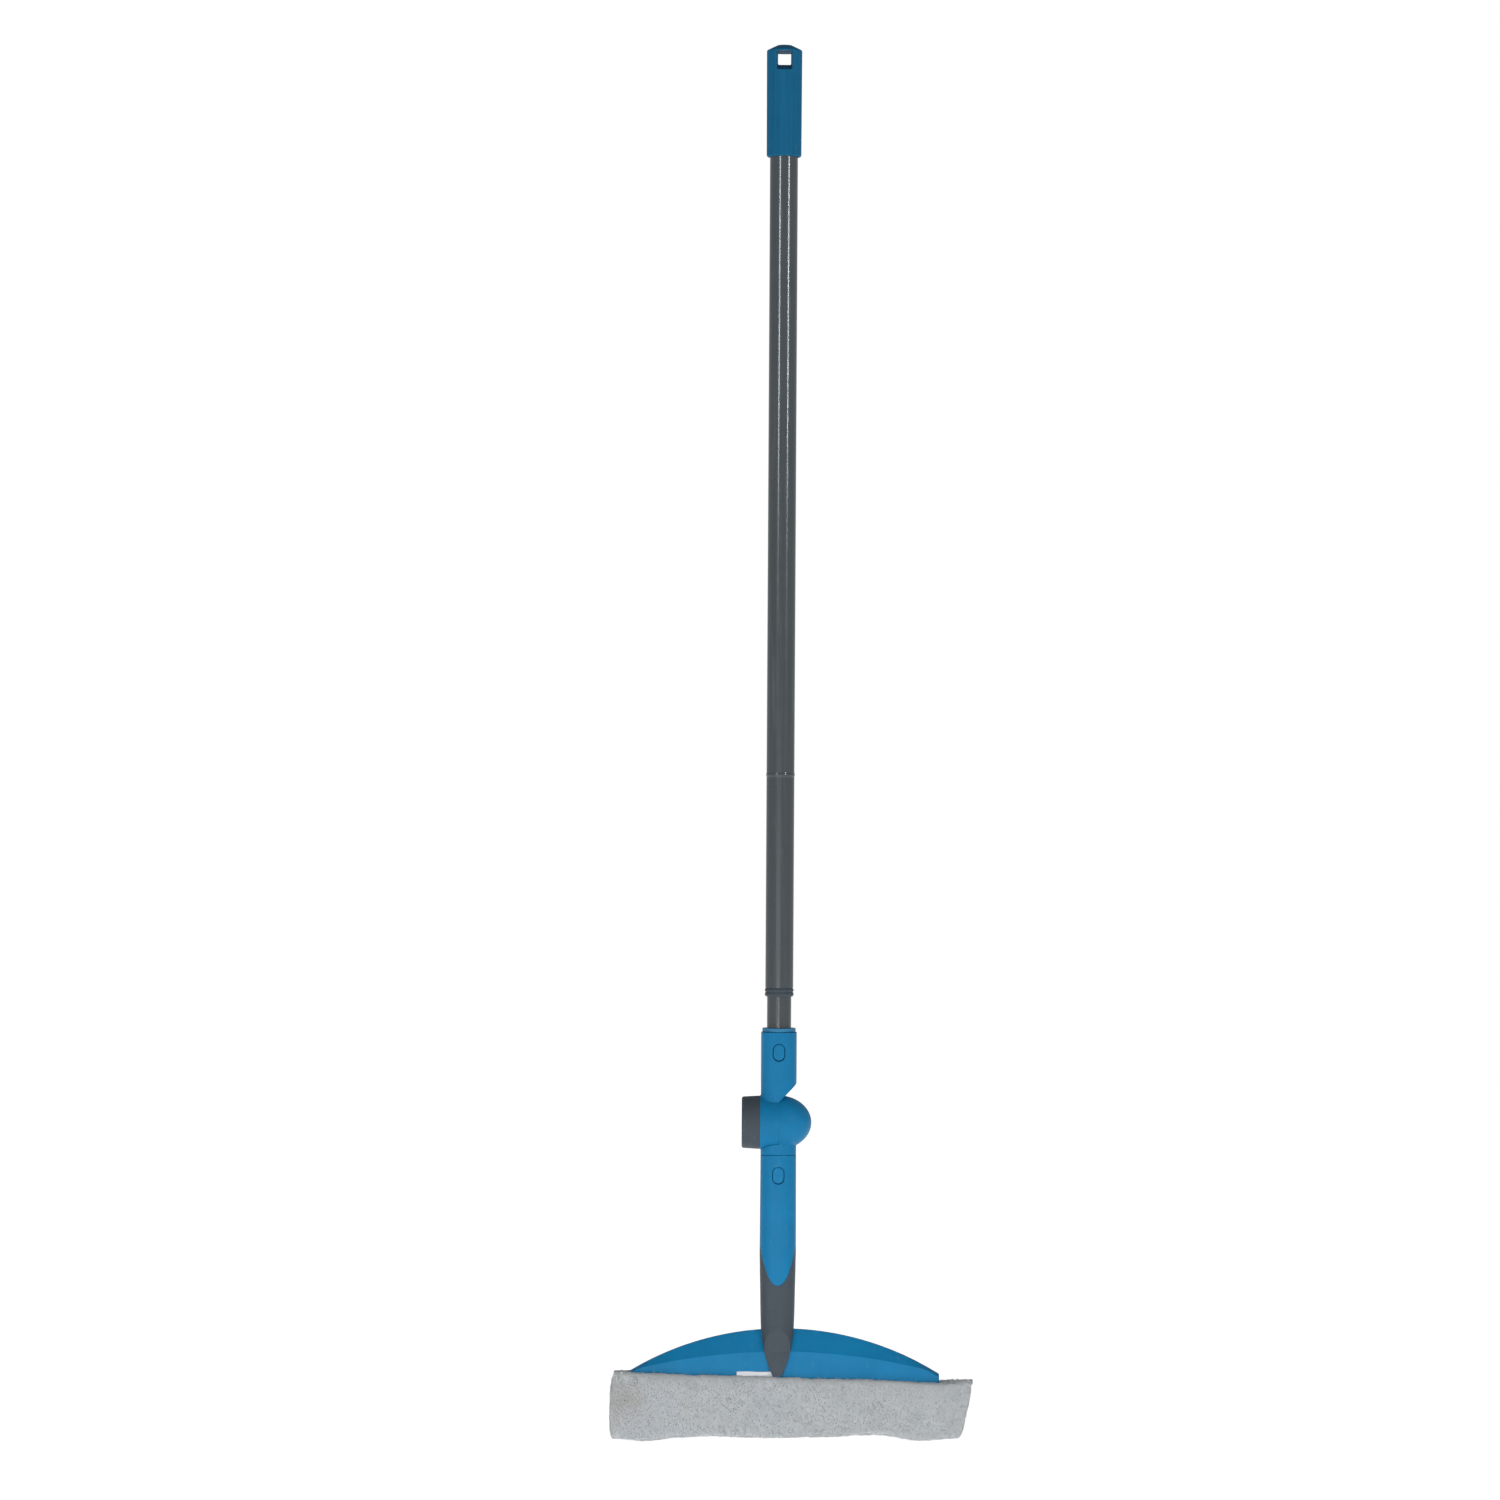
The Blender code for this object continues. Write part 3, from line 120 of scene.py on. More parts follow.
PAST = 4.0 * MM  # how far a cutting tool runs past what it cuts
SQUARE_CORNER = 2 ** (-2 / 2.5)  # the bevel profile of the handle's squarish section


# ---------------------------------------------------------------- modelling moves


def nothing_selected():
    if bpy.context.object and bpy.context.object.mode != "OBJECT":
        bpy.ops.object.mode_set(mode="OBJECT")
    bpy.ops.object.select_all(action="DESELECT")


def take(piece):
    """Makes a piece the only selected one."""
    nothing_selected()
    piece.select_set(True)
    bpy.context.view_layer.objects.active = piece


def opened(name):
    """Names the primitive that was just added, puts its place and size in its mesh and opens it for editing."""
    piece = bpy.context.object
    piece.name = piece.data.name = name
    bpy.ops.object.transform_apply(location=True, rotation=True, scale=True)
    bpy.ops.object.mode_set(mode="EDIT")
    return piece


def closed(piece):
    """Merges doubles, turns the faces outwards and leaves edit mode."""
    bpy.ops.mesh.select_mode(type="VERT")
    bpy.ops.mesh.select_all(action="SELECT")
    bpy.ops.mesh.remove_doubles(threshold=1e-6)
    bpy.ops.mesh.normals_make_consistent(inside=False)
    bpy.ops.object.mode_set(mode="OBJECT")
    return piece


def pick(piece, kind, test):
    """Selects only the vertices, edges or faces that pass a test of their middle and their direction."""
    bpy.ops.mesh.select_mode(type=kind)
    bpy.ops.mesh.select_all(action="DESELECT")
    shape = bmesh.from_edit_mesh(piece.data)
    if kind == "VERT":
        found = [v for v in shape.verts if test(v.co, v.normal)]
    elif kind == "EDGE":
        found = []
        for edge in shape.edges:
            first, last = (v.co for v in edge.verts)
            if test((first + last) / 2, (last - first).normalized()):
                found.append(edge)
    else:
        found = [f for f in shape.faces if test(f.calc_center_median(), f.normal)]
    for item in found:
        item.select_set(True)
    shape.select_flush_mode()
    bmesh.update_edit_mesh(piece.data)


def draw(by):
    """Extrudes the selected faces along a vector."""
    bpy.ops.mesh.extrude_region_move(TRANSFORM_OT_translate={"value": by})


def resize(scale, centre):
    bpy.ops.transform.resize(value=scale, center_override=centre)


def turned(name, profile, steps=96, hollow=False, along="Z"):
    """A turned piece, drawn out ring by ring from a circle. The profile's (radius, height) points run down
    its outer side. A hollow piece's points go on up its bore, and its two ends are bridged."""
    nothing_selected()
    radius, height = profile[0]
    bpy.ops.mesh.primitive_circle_add(vertices=steps, radius=radius, location=(0, 0, height))
    piece = opened(name)
    bpy.ops.mesh.select_mode(type="EDGE")
    bpy.ops.mesh.select_all(action="SELECT")
    for next_radius, next_height in profile[1:]:
        bpy.ops.mesh.extrude_edges_move(TRANSFORM_OT_translate={"value": (0, 0, next_height - height)})
        share = next_radius / radius
        if share != 1:
            resize((share, share, 1), (0, 0, next_height))
        radius, height = next_radius, next_height
    bpy.ops.mesh.select_all(action="DESELECT")
    bpy.ops.mesh.select_non_manifold(
        use_wire=False, use_boundary=True, use_multi_face=False, use_non_contiguous=False, use_verts=False
    )
    if hollow:
        bpy.ops.mesh.bridge_edge_loops()
    else:
        bpy.ops.mesh.fill_holes(sides=0)
    closed(piece)
    if along == "X":
        place(piece, (0, 0, HINGE_Z), (0, math.pi / 2, 0))
    elif along == "Y":
        place(piece, (0, 0, SCREW_Z), (-math.pi / 2, 0, 0))
    return piece


def place(piece, location, rotation=(0, 0, 0)):
    """Moves and turns a piece, and puts that in its mesh."""
    take(piece)
    piece.location, piece.rotation_euler = location, rotation
    bpy.ops.object.transform_apply(location=True, rotation=True, scale=True)


def cube(name, low, high):
    """Adds a cube between two corners and opens it for editing."""
    nothing_selected()
    low, high = Vector(low), Vector(high)
    bpy.ops.mesh.primitive_cube_add(size=1, location=(low + high) / 2, scale=high - low)
    return opened(name)


def block(name, low, high):
    return closed(cube(name, low, high))


def column(name, sections, segments=14):
    """A squarish upright column, drawn down through (height, half width, half depth) sections."""
    (top, width, depth), (second, *_) = sections[:2]
    piece = cube(name, (-width, -depth, second), (width, depth, top))
    pick(piece, "EDGE", lambda middle, way: abs(way.z) > 0.9)
    bpy.ops.mesh.bevel(
        offset=0.97 * min(width, depth),
        offset_type="OFFSET",
        segments=segments,
        profile=SQUARE_CORNER,
        affect="EDGES",
    )
    pick(piece, "FACE", lambda middle, normal: normal.z < -0.9)
    resize((sections[1][1] / width, sections[1][2] / depth, 1), (0, 0, second))
    for (height, width, depth), (below, next_width, next_depth) in zip(sections[1:], sections[2:]):
        draw((0, 0, below - height))
        resize((next_width / width, next_depth / depth, 1), (0, 0, below))
    return closed(piece)


def oval_block(name, width, height, centre_z, front, back):
    """An upright oval with round ends, through from front to back."""
    half = width / 2
    piece = cube(name, (-half, front, centre_z - height / 2), (half, back, centre_z + height / 2))
    pick(piece, "EDGE", lambda middle, way: abs(way.y) > 0.9)
    bpy.ops.mesh.bevel(offset=0.999 * half, offset_type="OFFSET", segments=14, profile=0.5, affect="EDGES")
    bpy.ops.mesh.select_all(action="SELECT")
    bpy.ops.mesh.remove_doubles(threshold=0.05 * MM)
    return closed(piece)


def apply_modifier(piece, kind, **settings):
    take(piece)
    bpy.ops.object.modifier_add(type=kind)
    modifier = piece.modifiers[-1]
    for name, value in settings.items():
        setattr(modifier, name, value)
    bpy.ops.object.modifier_apply(modifier=modifier.name)


def carve(piece, tool, operation="DIFFERENCE"):
    """Cuts a tool out of a piece, joins it on, or keeps what both share, and then takes the tool away."""
    apply_modifier(piece, "BOOLEAN", operation=operation, solver="EXACT", object=tool)
    bpy.data.objects.remove(tool)


def tidy_mesh(piece, merge=0.02 * MM):
    """Merges the slivers that a cut leaves."""
    take(piece)
    bpy.ops.object.mode_set(mode="EDIT")
    bpy.ops.mesh.select_all(action="SELECT")
    bpy.ops.mesh.remove_doubles(threshold=merge)
    bpy.ops.mesh.dissolve_degenerate(threshold=merge)
    bpy.ops.object.mode_set(mode="OBJECT")


def round_edges(piece, width, segments=3, angle=38, share=lambda middle: 1.0):
    """Rounds the edges sharper than an angle. share gives an edge's part of the width, by its middle."""
    take(piece)
    bpy.ops.object.mode_set(mode="EDIT")
    shape = bmesh.from_edit_mesh(piece.data)
    weight = shape.edges.layers.float.new("bevel_weight_edge")
    for edge in shape.edges:
        if len(edge.link_faces) == 2 and edge.calc_face_angle(0) > math.radians(angle):
            edge[weight] = share((edge.verts[0].co + edge.verts[1].co) / 2)
    bmesh.update_edit_mesh(piece.data)
    bpy.ops.object.mode_set(mode="OBJECT")
    apply_modifier(
        piece,
        "BEVEL",
        width=width,
        segments=segments,
        limit_method="WEIGHT",
        use_clamp_overlap=False,
        miter_outer="MITER_ARC",
    )
    piece.data.attributes.remove(piece.data.attributes["bevel_weight_edge"])


def shade(piece, angle=32):
    """Shades a piece smooth up to an angle, and gives its flat faces the most weight."""
    take(piece)
    bpy.ops.object.shade_smooth_by_angle(angle=math.radians(angle))
    apply_modifier(piece, "WEIGHTED_NORMAL", keep_sharp=True, weight=60)


def fit(piece, body, slot, finish, *nodes):
    """Gives a finished piece its material, and its place on a body instead of the frame's nodes."""
    piece.data.materials.clear()
    piece.data.materials.append(bpy.data.materials[finish])
    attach(piece, body)
    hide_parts(*nodes)
    return piece


def arc(centre, radius, start, end, steps):
    """Points on an arc in a profile, between two angles in degrees from the radial direction."""
    points = []
    for i in range(steps + 1):
        angle = math.radians(start + (end - start) * i / steps)
        points.append((centre[0] + radius * math.cos(angle), centre[1] + radius * math.sin(angle)))
    return points


# ---------------------------------------------------------------- finishes


class Recipe:
    """A material's nodes, each made and wired in one call."""

    def __init__(self, name):
        material = bpy.data.materials.new(name)
        material.use_nodes = True
        self.tree = material.node_tree
        self.shader = self.tree.nodes["Principled BSDF"]
        self.place = self.node("ShaderNodeTexCoord").outputs["Object"]

    def node(self, kind, sockets=None, **settings):
        made = self.tree.nodes.new(kind)
        for name, value in settings.items():
            setattr(made, name, value)
        for socket, value in (sockets or {}).items():
            self.put(made, socket, value)
        return made

    def put(self, node, socket, value):
        """Sets a socket to a value, or links another node's output to it."""
        if isinstance(value, bpy.types.NodeSocket):
            self.tree.links.new(value, node.inputs[socket])
        else:
            node.inputs[socket].default_value = value

    def stretched(self, scale, turn=(0, 0, 0)):
        """The piece's coordinates, stretched along its axes."""
        mapping = {"Vector": self.place, "Scale": scale, "Rotation": turn}
        return self.node("ShaderNodeMapping", mapping).outputs[0]

    def noise(self, scale, detail=3.0, rough=0.55, vector=None, low=0.3, high=0.7, to_low=0.0, to_high=1.0):
        """A noise, spread between two limits."""
        made = self.node(
            "ShaderNodeTexNoise",
            {"Vector": vector or self.place, "Scale": scale, "Detail": detail, "Roughness": rough},
        )
        return self.spread(made.outputs["Fac"], low, high, to_low, to_high)

    def spread(self, value, low, high, to_low=0.0, to_high=1.0):
        sockets = {"Value": value, "From Min": low, "From Max": high, "To Min": to_low, "To Max": to_high}
        return self.node("ShaderNodeMapRange", sockets).outputs["Result"]

    def sum(self, first, second, operation="ADD"):
        return self.node("ShaderNodeMath", {0: first, 1: second}, operation=operation).outputs[0]

    def blend(self, share, first, second, mode="MIX"):
        made = self.node("ShaderNodeMix", {0: share, 6: first, 7: second}, data_type="RGBA", blend_type=mode)
        return made.outputs[2]

    def bump(self, height, strength, distance, below=None):
        sockets = {"Height": height, "Strength": strength, "Distance": distance}
        if below:
            sockets["Normal"] = below
        return self.node("ShaderNodeBump", sockets).outputs["Normal"]

    def finish(self, colour, roughness, normal, **constants):
        self.put(self.shader, "Base Color", colour)
        self.put(self.shader, "Roughness", roughness)
        self.put(self.shader, "Normal", normal)
        for name, value in constants.items():
            self.shader.inputs[name.replace("_", " ")].default_value = value


def shaded(colour, by):
    """A colour made lighter or darker, with alpha."""
    return (*(min(1.0, c * by) for c in colour), 1.0)


def moulded_plastic(name, colour, gloss=0.42, streaks=0.0, specular=0.12):
    """Moulded plastic: soft mottling, a fine spark-eroded grain, lighter flow lines and light scuffs. Where the
    streaks are turned up, as on the cap, the lighter lines also paint in a sheen.
    """
    recipe = Recipe(name)
    mottle = recipe.noise(38, 4)
    base = recipe.blend(mottle, shaded(colour, 0.93), shaded(colour, 1.06))
    # lighter streaks along the piece: real flow lines, and where turned up, as on the cap, a painted sheen
    flow_and_sheen = recipe.noise(420, 2, vector=recipe.stretched((1, 1, 0.03)), to_high=max(streaks, 0.12))
    base = recipe.blend(flow_and_sheen, base, shaded(colour, 1.28))
    scuffs = recipe.noise(260, 6, 0.7, recipe.stretched((1, 0.4, 0.15), (0.3, 0.5, 0.2)), 0.62, 0.74, 0, 0.22)
    base = recipe.blend(scuffs, base, (*(0.5 * c + 0.25 for c in colour), 1))
    rough = recipe.sum(
        recipe.noise(90, 3, to_low=gloss - 0.05, to_high=gloss + 0.06), recipe.sum(scuffs, 0.5, "MULTIPLY")
    )
    grain = recipe.bump(recipe.noise(2600, 2), 0.16, 0.12 * MM)
    relief = recipe.bump(recipe.noise(160, 2), 0.12, 0.25 * MM, grain)
    recipe.finish(base, rough, relief, Specular_IOR_Level=specular)


def painted_tube(name, colour):
    """Grey enamel on drawn steel: lengthwise draw lines, rubbed streaks and a little dust."""
    recipe = Recipe(name)
    lines = recipe.noise(1500, 3, 0.6, recipe.stretched((1, 1, 0.012)), 0.35, 0.7)
    base = recipe.blend(lines, shaded(colour, 0.9), shaded(colour, 1.14))
    rubbed = recipe.noise(240, 5, 0.65, recipe.stretched((1, 1, 0.05)), 0.58, 0.72, 0, 0.4)
    base = recipe.blend(rubbed, base, shaded(colour, 1.9))
    mottle = recipe.noise(22, 4, 0.6, recipe.stretched((1, 1, 0.35)), 0.35, 0.65, 0, 0.22)
    base = recipe.blend(mottle, base, shaded(colour, 0.72))
    grime = recipe.noise(420, 4, 0.7, low=0.5, high=0.7)
    height = recipe.node("ShaderNodeSeparateXYZ", {"Vector": recipe.place}).outputs["Z"]
    near_end = recipe.spread(height, INNER_LOW.z + 32 * MM, INNER_LOW.z, 0, 0.75)
    base = recipe.blend(recipe.sum(grime, near_end, "MULTIPLY"), base, (0.085, 0.066, 0.052, 1))
    rough = recipe.sum(recipe.noise(70, 3, to_low=0.15, to_high=0.2), recipe.sum(rubbed, 0.3, "MULTIPLY"))
    normal = recipe.bump(lines, 0.012, 0.05 * MM, recipe.bump(recipe.noise(900, 3), 0.01, 0.1 * MM))
    recipe.finish(base, rough, normal, Metallic=0.15, Specular_IOR_Level=0.5)


def zinc_plated(name, colour):
    """Zinc-plated steel with cloudy plating and fine turning marks."""
    recipe = Recipe(name)
    base = recipe.blend(recipe.noise(300, 4), shaded(colour, 0.8), shaded(colour, 1.1))
    base = recipe.blend(recipe.noise(900, 4, 0.7, low=0.62, high=0.72), base, (0.33, 0.31, 0.27, 1))
    rough = recipe.noise(500, 3, to_low=0.28, to_high=0.46)
    recipe.finish(base, rough, recipe.bump(recipe.noise(1800, 2), 0.15, 0.1 * MM), Metallic=1.0)


def fleece_pile(name, colour, stain):
    """Undyed microfibre pile: matted patches, combed streaks, a few dark specks, a faint stain, and a painted
    shade that darkens it towards its top.
    """
    recipe = Recipe(name)
    matted = recipe.noise(75, 5, 0.6, low=0.32, high=0.68)
    base = recipe.blend(matted, shaded(colour, 0.91), shaded(colour, 1.05))
    combed = recipe.noise(420, 4, 0.6, recipe.stretched((1, 1, 0.14)), 0.35, 0.68)
    base = recipe.blend(recipe.sum(combed, 0.5, "MULTIPLY"), base, shaded(colour, 0.86))
    fibres = recipe.noise(1500, 4, 0.7, low=0.35, high=0.65)
    base = recipe.blend(recipe.sum(fibres, 0.25, "MULTIPLY"), base, shaded(colour, 1.12))
    blush = recipe.noise(26, 2, low=0.4, high=0.62, to_high=0.5)
    base = recipe.blend(blush, base, (colour[0] * 0.97, colour[1] * 0.98, colour[2] * 1.05, 1))
    parts = recipe.node("ShaderNodeSeparateXYZ", {"Vector": recipe.place}).outputs
    # painted shade: the pile darkens towards the cover's top, where the crescent sits over it
    top = recipe.spread(parts["Z"], FLEECE_HIGH.z - 13 * MM, FLEECE_HIGH.z - 4 * MM, 0, 0.5)
    base = recipe.blend(top, base, shaded(colour, 0.87))
    spot = recipe.node(
        "ShaderNodeTexGradient",
        {
            "Vector": recipe.node(
                "ShaderNodeMapping",
                {"Vector": recipe.place, "Location": (138 * MM, 16 * MM, 1.2283), "Scale": (1, 1, 1)},
            ).outputs[0]
        },
        gradient_type="SPHERICAL",
    ).outputs["Fac"]
    spot = recipe.spread(spot, 1 - 26 * MM, 1 - 2 * MM, 0, 0.5)
    spot = recipe.sum(spot, recipe.noise(90, 4, 0.65, low=0.3, high=0.6, to_low=0.35), "MULTIPLY")
    base = recipe.blend(spot, base, (*stain, 1))
    specks = recipe.noise(230, 3, 0.6, low=0.73, high=0.78, to_high=0.3)
    base = recipe.blend(specks, base, (0.16, 0.16, 0.17, 1))
    rough = recipe.noise(60, 2, to_low=0.86, to_high=0.97)
    normal = recipe.bump(combed, 0.35, 0.5 * MM, recipe.bump(fibres, 0.5, 0.4 * MM))
    recipe.finish(base, rough, normal, Specular_IOR_Level=0.15, Sheen_Weight=0.25, Sheen_Roughness=0.5)


def woven_tape(name, colour):
    """White woven tape: threads across and along it."""
    recipe = Recipe(name)
    threads = {"Vector": recipe.place, "Scale": 620.0}
    weft = recipe.node("ShaderNodeTexWave", threads, bands_direction="Z").outputs["Fac"]
    warp = recipe.node("ShaderNodeTexWave", threads, bands_direction="X").outputs["Fac"]
    weave = recipe.sum(weft, warp, "MULTIPLY")
    base = recipe.blend(weave, shaded(colour, 0.9), shaded(colour, 1.05))
    base = recipe.blend(recipe.noise(120, 3, to_high=0.35), base, shaded(colour, 0.86))
    recipe.finish(base, recipe.noise(90, 2, to_low=0.75, to_high=0.9), recipe.bump(weave, 0.4, 0.15 * MM))


def floor_paint(name, colour):
    """The stage's matt white paint, lit from behind like a light table, with a very faint mottling."""
    recipe = Recipe(name)
    base = recipe.blend(recipe.noise(3, 3), shaded(colour, 0.995), shaded(colour, 1.0))
    rough = recipe.noise(6, 2, to_low=0.85, to_high=0.95)
    recipe.finish(base, rough, recipe.bump(recipe.noise(300, 2), 0.02, 0.2 * MM))
    lit = (("Specular IOR Level", 0.05), ("Emission Color", (1, 1, 1, 1)), ("Emission Strength", 0.85))
    for name, value in lit:
        recipe.shader.inputs[name].default_value = value


# ---------------------------------------------------------------- settings


def colour_setting(name, description, default):
    return bpy.props.FloatVectorProperty(
        name=name, description=description, default=default, size=3, min=0, max=1, subtype="COLOR"
    )


def length_setting(name, description, default, low=0.0, high=1.0):
    return bpy.props.FloatProperty(
        name=name, description=description, default=default, min=low, max=high, unit="LENGTH", precision=4
    )


class WASHER_PG_colours(bpy.types.PropertyGroup):
    """The colours of the washer's materials."""

    cap: colour_setting("Cap", "Deep blue of the pole's cap", (0.008, 0.096, 0.197))
    blue: colour_setting("Blue", "Blue of the joint, the socket and the crescent", (0.005, 0.157, 0.333))
    collar: colour_setting("Plug collar", "Lighter blue of the plug in the inner tube", (0.037, 0.18, 0.33))
    grey: colour_setting("Grey plastic", "Dark grey of the neck, the knob and the bush", (0.054, 0.068, 0.083))
    tube: colour_setting("Tube paint", "Grey enamel on the two tubes", (0.052, 0.064, 0.072))
    black: colour_setting("Black plastic", "Black of the lock inside the pole", (0.016, 0.016, 0.018))
    zinc: colour_setting("Zinc", "Plating of the screws, the bolt and the springs", (0.58, 0.59, 0.61))
    fleece: colour_setting("Fleece", "Undyed pile of the cover", (0.43, 0.453, 0.462))
    stain: colour_setting("Stain", "Faint mark at the cover's end", (0.33, 0.29, 0.25))
    tape: colour_setting("Tape", "White of the label and the hook tape", (0.68, 0.7, 0.73))
    floor: colour_setting("Floor", "Matt white of the floor", (0.93, 0.93, 0.93))


class WASHER_PG_sizes(bpy.types.PropertyGroup):
    """The sizes of the details that the frame leaves open."""

    hard_edge: length_setting("Hard edge", "Rounding of the small plastic edges", 0.35 * MM, 0.1 * MM, 1 * MM)
    soft_edge: length_setting(
        "Soft edge", "Rounding where the joint's shapes run together", 0.8 * MM, 0.2 * MM, 2 * MM
    )
    pile: length_setting("Pile", "How far the cover's fibres stand off its cloth", 1.5 * MM, 1 * MM, 6 * MM)
    fibres: bpy.props.IntProperty(
        name="Fibres",
        description="Tufts over each square metre of the cover",
        default=420000,
        min=0,
        max=2000000,
    )
    lumps: length_setting("Lumps", "Depth of the cover's large lumps", 1.6 * MM, 0, 6 * MM)
    camera_distance: length_setting("Camera distance", "From the lens to the pole's axis", 5.0, 0.5, 10)


# ---------------------------------------------------------------- the washer's own shapes


def prism(name, outline, low, high, across):
    """A flat outline drawn out along X, with (y, z) points, or along Y, with (x, z) points."""
    nothing_selected()
    bpy.ops.mesh.primitive_circle_add(vertices=len(outline), radius=1, fill_type="NGON")
    piece = opened(name)
    shape = bmesh.from_edit_mesh(piece.data)
    for corner, (a, b) in zip(shape.verts, outline):
        corner.co = (low, a, b) if across == "X" else (a, low, b)
    bmesh.update_edit_mesh(piece.data)
    bpy.ops.mesh.select_all(action="SELECT")
    run = high - low
    draw((run, 0, 0) if across == "X" else (0, run, 0))
    return closed(piece)


def rod(name, radius, low, high, along="Z", steps=96):
    return turned(name, [(radius, high), (radius, low)], steps, along=along)


def copied(piece, name, shift=(0, 0, 0), mirror_y=False):
    """A copy with its own mesh, moved or turned over from front to back."""
    take(piece)
    bpy.ops.object.duplicate()
    copy = bpy.context.object
    copy.name = copy.data.name = name
    copy.location = shift
    if mirror_y:
        copy.scale.y = -1
    bpy.ops.object.transform_apply(location=True, rotation=True, scale=True)
    if mirror_y:
        bpy.ops.object.mode_set(mode="EDIT")
        closed(copy)
    return copy


def button_opening(name, button_z, width, height):
    drop = 0.25 * MM  # the groove is wider under the button
    return oval_block(
        name, width + 2 * BUTTON_GAP, height + 2 * BUTTON_GAP, button_z - drop, -SOCKET_HALF_DEPTH - PAST, 0
    )


def below_shell(name, drop):
    """All that lies below the blue shell's end, which is a rounded tongue at the front and at the back."""
    tip = SHELL_LOW.z - drop
    steps, reach = 24, 1.12 * SOCKET_HALF_WIDTH
    curve = []
    for i in range(-steps, steps + 1):
        x = reach * i / steps
        curve.append((x, tip + 29.2 * MM * (abs(x) / (15 * MM)) ** 2.3))
    floor = NECK_LOW.z - 2 * PAST
    outline = curve + [(reach, floor), (-reach, floor)]
    return prism(name, outline, -2 * SOCKET_HALF_DEPTH, 2 * SOCKET_HALF_DEPTH, "Y")


def handle_sections():
    """The handle's outer form: (height, half width, half depth), from its top down to the crescent."""
    return [
        (HANDLE_TOP_Z, SOCKET_HALF_WIDTH, SOCKET_HALF_DEPTH),
        (HANDLE_TOP_Z - 44 * MM, 16.42 * MM, 15.45 * MM),
        (HANDLE_TOP_Z - 87.8 * MM, 16.6 * MM, 15.3 * MM),
        (HANDLE_TOP_Z - 109.6 * MM, 16.2 * MM, 14.6 * MM),
        (HANDLE_TOP_Z - 123 * MM, 15.9 * MM, 14.2 * MM),
        (HANDLE_TOP_Z - 141 * MM, 15.6 * MM, 13.9 * MM),
        (HEAD_TOP_Z + 4 * MM, 15.2 * MM, 14.2 * MM),
    ]


POLE_TRAVEL = 0.5  # how far the inner tube draws out
HEAD_SHIFT = 5.5 * MM  # how far the crescent and its cover sit to one side of the neck


def crescent_edges(x, grow=0.0):
    """The crescent's (half depth, height) at its top, its facet line and its foot, at a place along X."""
    half, top_arc, facet_arc = HEAD_HIGH.x, 267 * MM, 537 * MM
    x = max(-half, min(half, x))
    share = abs(x) / half
    slim = 3 * MM * share**3
    top = max(HEAD_TOP_Z - top_arc + math.sqrt(top_arc**2 - x**2), HEAD_FOOT_Z + 4.5 * MM)
    facet = min(FOLD_Z - facet_arc + math.sqrt(facet_arc**2 - x**2), top + min(grow, 0) - 2 * MM)
    facet_depth = 10.8 * MM - slim
    top_depth = 2.2 * MM + (facet_depth - 2.2 * MM) * 0.6 * share**4
    top_edge = (max(top_depth + grow, 0.6 * MM), top + grow)
    return top_edge, (facet_depth + grow, facet), (facet_depth + grow, HEAD_FOOT_Z)


def crescent_half(name, parting, foot, grow=0.0, stations=60):
    """The crescent's front half: a long block in even stations, its corners then moved to its edges."""
    half = HEAD_HIGH.x + grow
    (_, top), (_, facet), (foot_depth, _) = crescent_edges(0)
    piece = cube(name, (-half, -foot_depth, foot), (half, parting, top))
    pick(piece, "EDGE", lambda middle, way: abs(way.x) > 0.9)
    bpy.ops.mesh.subdivide(number_cuts=stations - 1)
    bpy.ops.mesh.select_all(action="SELECT")
    bpy.ops.mesh.bisect(plane_co=(0, 0, facet), plane_no=(0, 0, 1))
    for i in range(stations + 1):
        x = half * (2 * i / stations - 1)
        (top_depth, top_z), (facet_depth, facet_z), (low_depth, _) = crescent_edges(x, grow)
        for height, new_height, depth in (
            (top, top_z, top_depth),
            (facet, facet_z, facet_depth),
            (foot, foot, low_depth),
        ):
            near = 0.01 * MM
            pick(
                piece,
                "VERT",
                lambda co, _: abs(co.x - x) < near and abs(co.z - height) < near and co.y < parting - near,
            )
            bpy.ops.transform.translate(value=(0, foot_depth - depth, 0))
            pick(piece, "VERT", lambda co, _: abs(co.x - x) < near and abs(co.z - height) < near)
            if new_height != height:
                bpy.ops.transform.translate(value=(0, 0, new_height - height))
    place(closed(piece), (HEAD_SHIFT, 0, 0))
    return piece


def crease(piece, low=9, high=25):
    """Marks the shallow edges between two angles sharp, so that a facet line shows."""
    take(piece)
    bpy.ops.object.mode_set(mode="EDIT")
    bpy.ops.mesh.select_mode(type="EDGE")
    bpy.ops.mesh.select_all(action="DESELECT")
    shape = bmesh.from_edit_mesh(piece.data)
    for edge in shape.edges:
        if len(edge.link_faces) == 2 and low < math.degrees(edge.calc_face_angle(0)) < high:
            edge.select_set(True)
    bmesh.update_edit_mesh(piece.data)
    bpy.ops.mesh.mark_sharp()
    bpy.ops.object.mode_set(mode="OBJECT")


# ---------------------------------------------------------------- operators


class WASHER_OT_finishes(bpy.types.Operator):
    """Mix the procedural materials"""

    bl_idname = "washer.finishes"
    bl_label = "Materials"

    def execute(self, context):
        colours = context.scene.washer_colours
        # the cap's strong lighter streaks are partly a painted sheen, because its own reflection is turned down
        moulded_plastic("Deep blue plastic", colours.cap, 0.5, 0.55, 0.03)
        moulded_plastic("Blue plastic", colours.blue, 0.42)
        moulded_plastic("Light blue plastic", colours.collar, 0.45)
        moulded_plastic("Grey plastic", colours.grey, 0.48, 0.1, 0.12)
        painted_tube("Grey enamel", colours.tube)
        moulded_plastic("Black plastic", colours.black, 0.5)
        zinc_plated("Zinc plate", colours.zinc)
        fleece_pile("Fleece pile", colours.fleece, colours.stain)
        woven_tape("White tape", colours.tape)
        floor_paint("Floor paint", colours.floor)
        return {"FINISHED"}


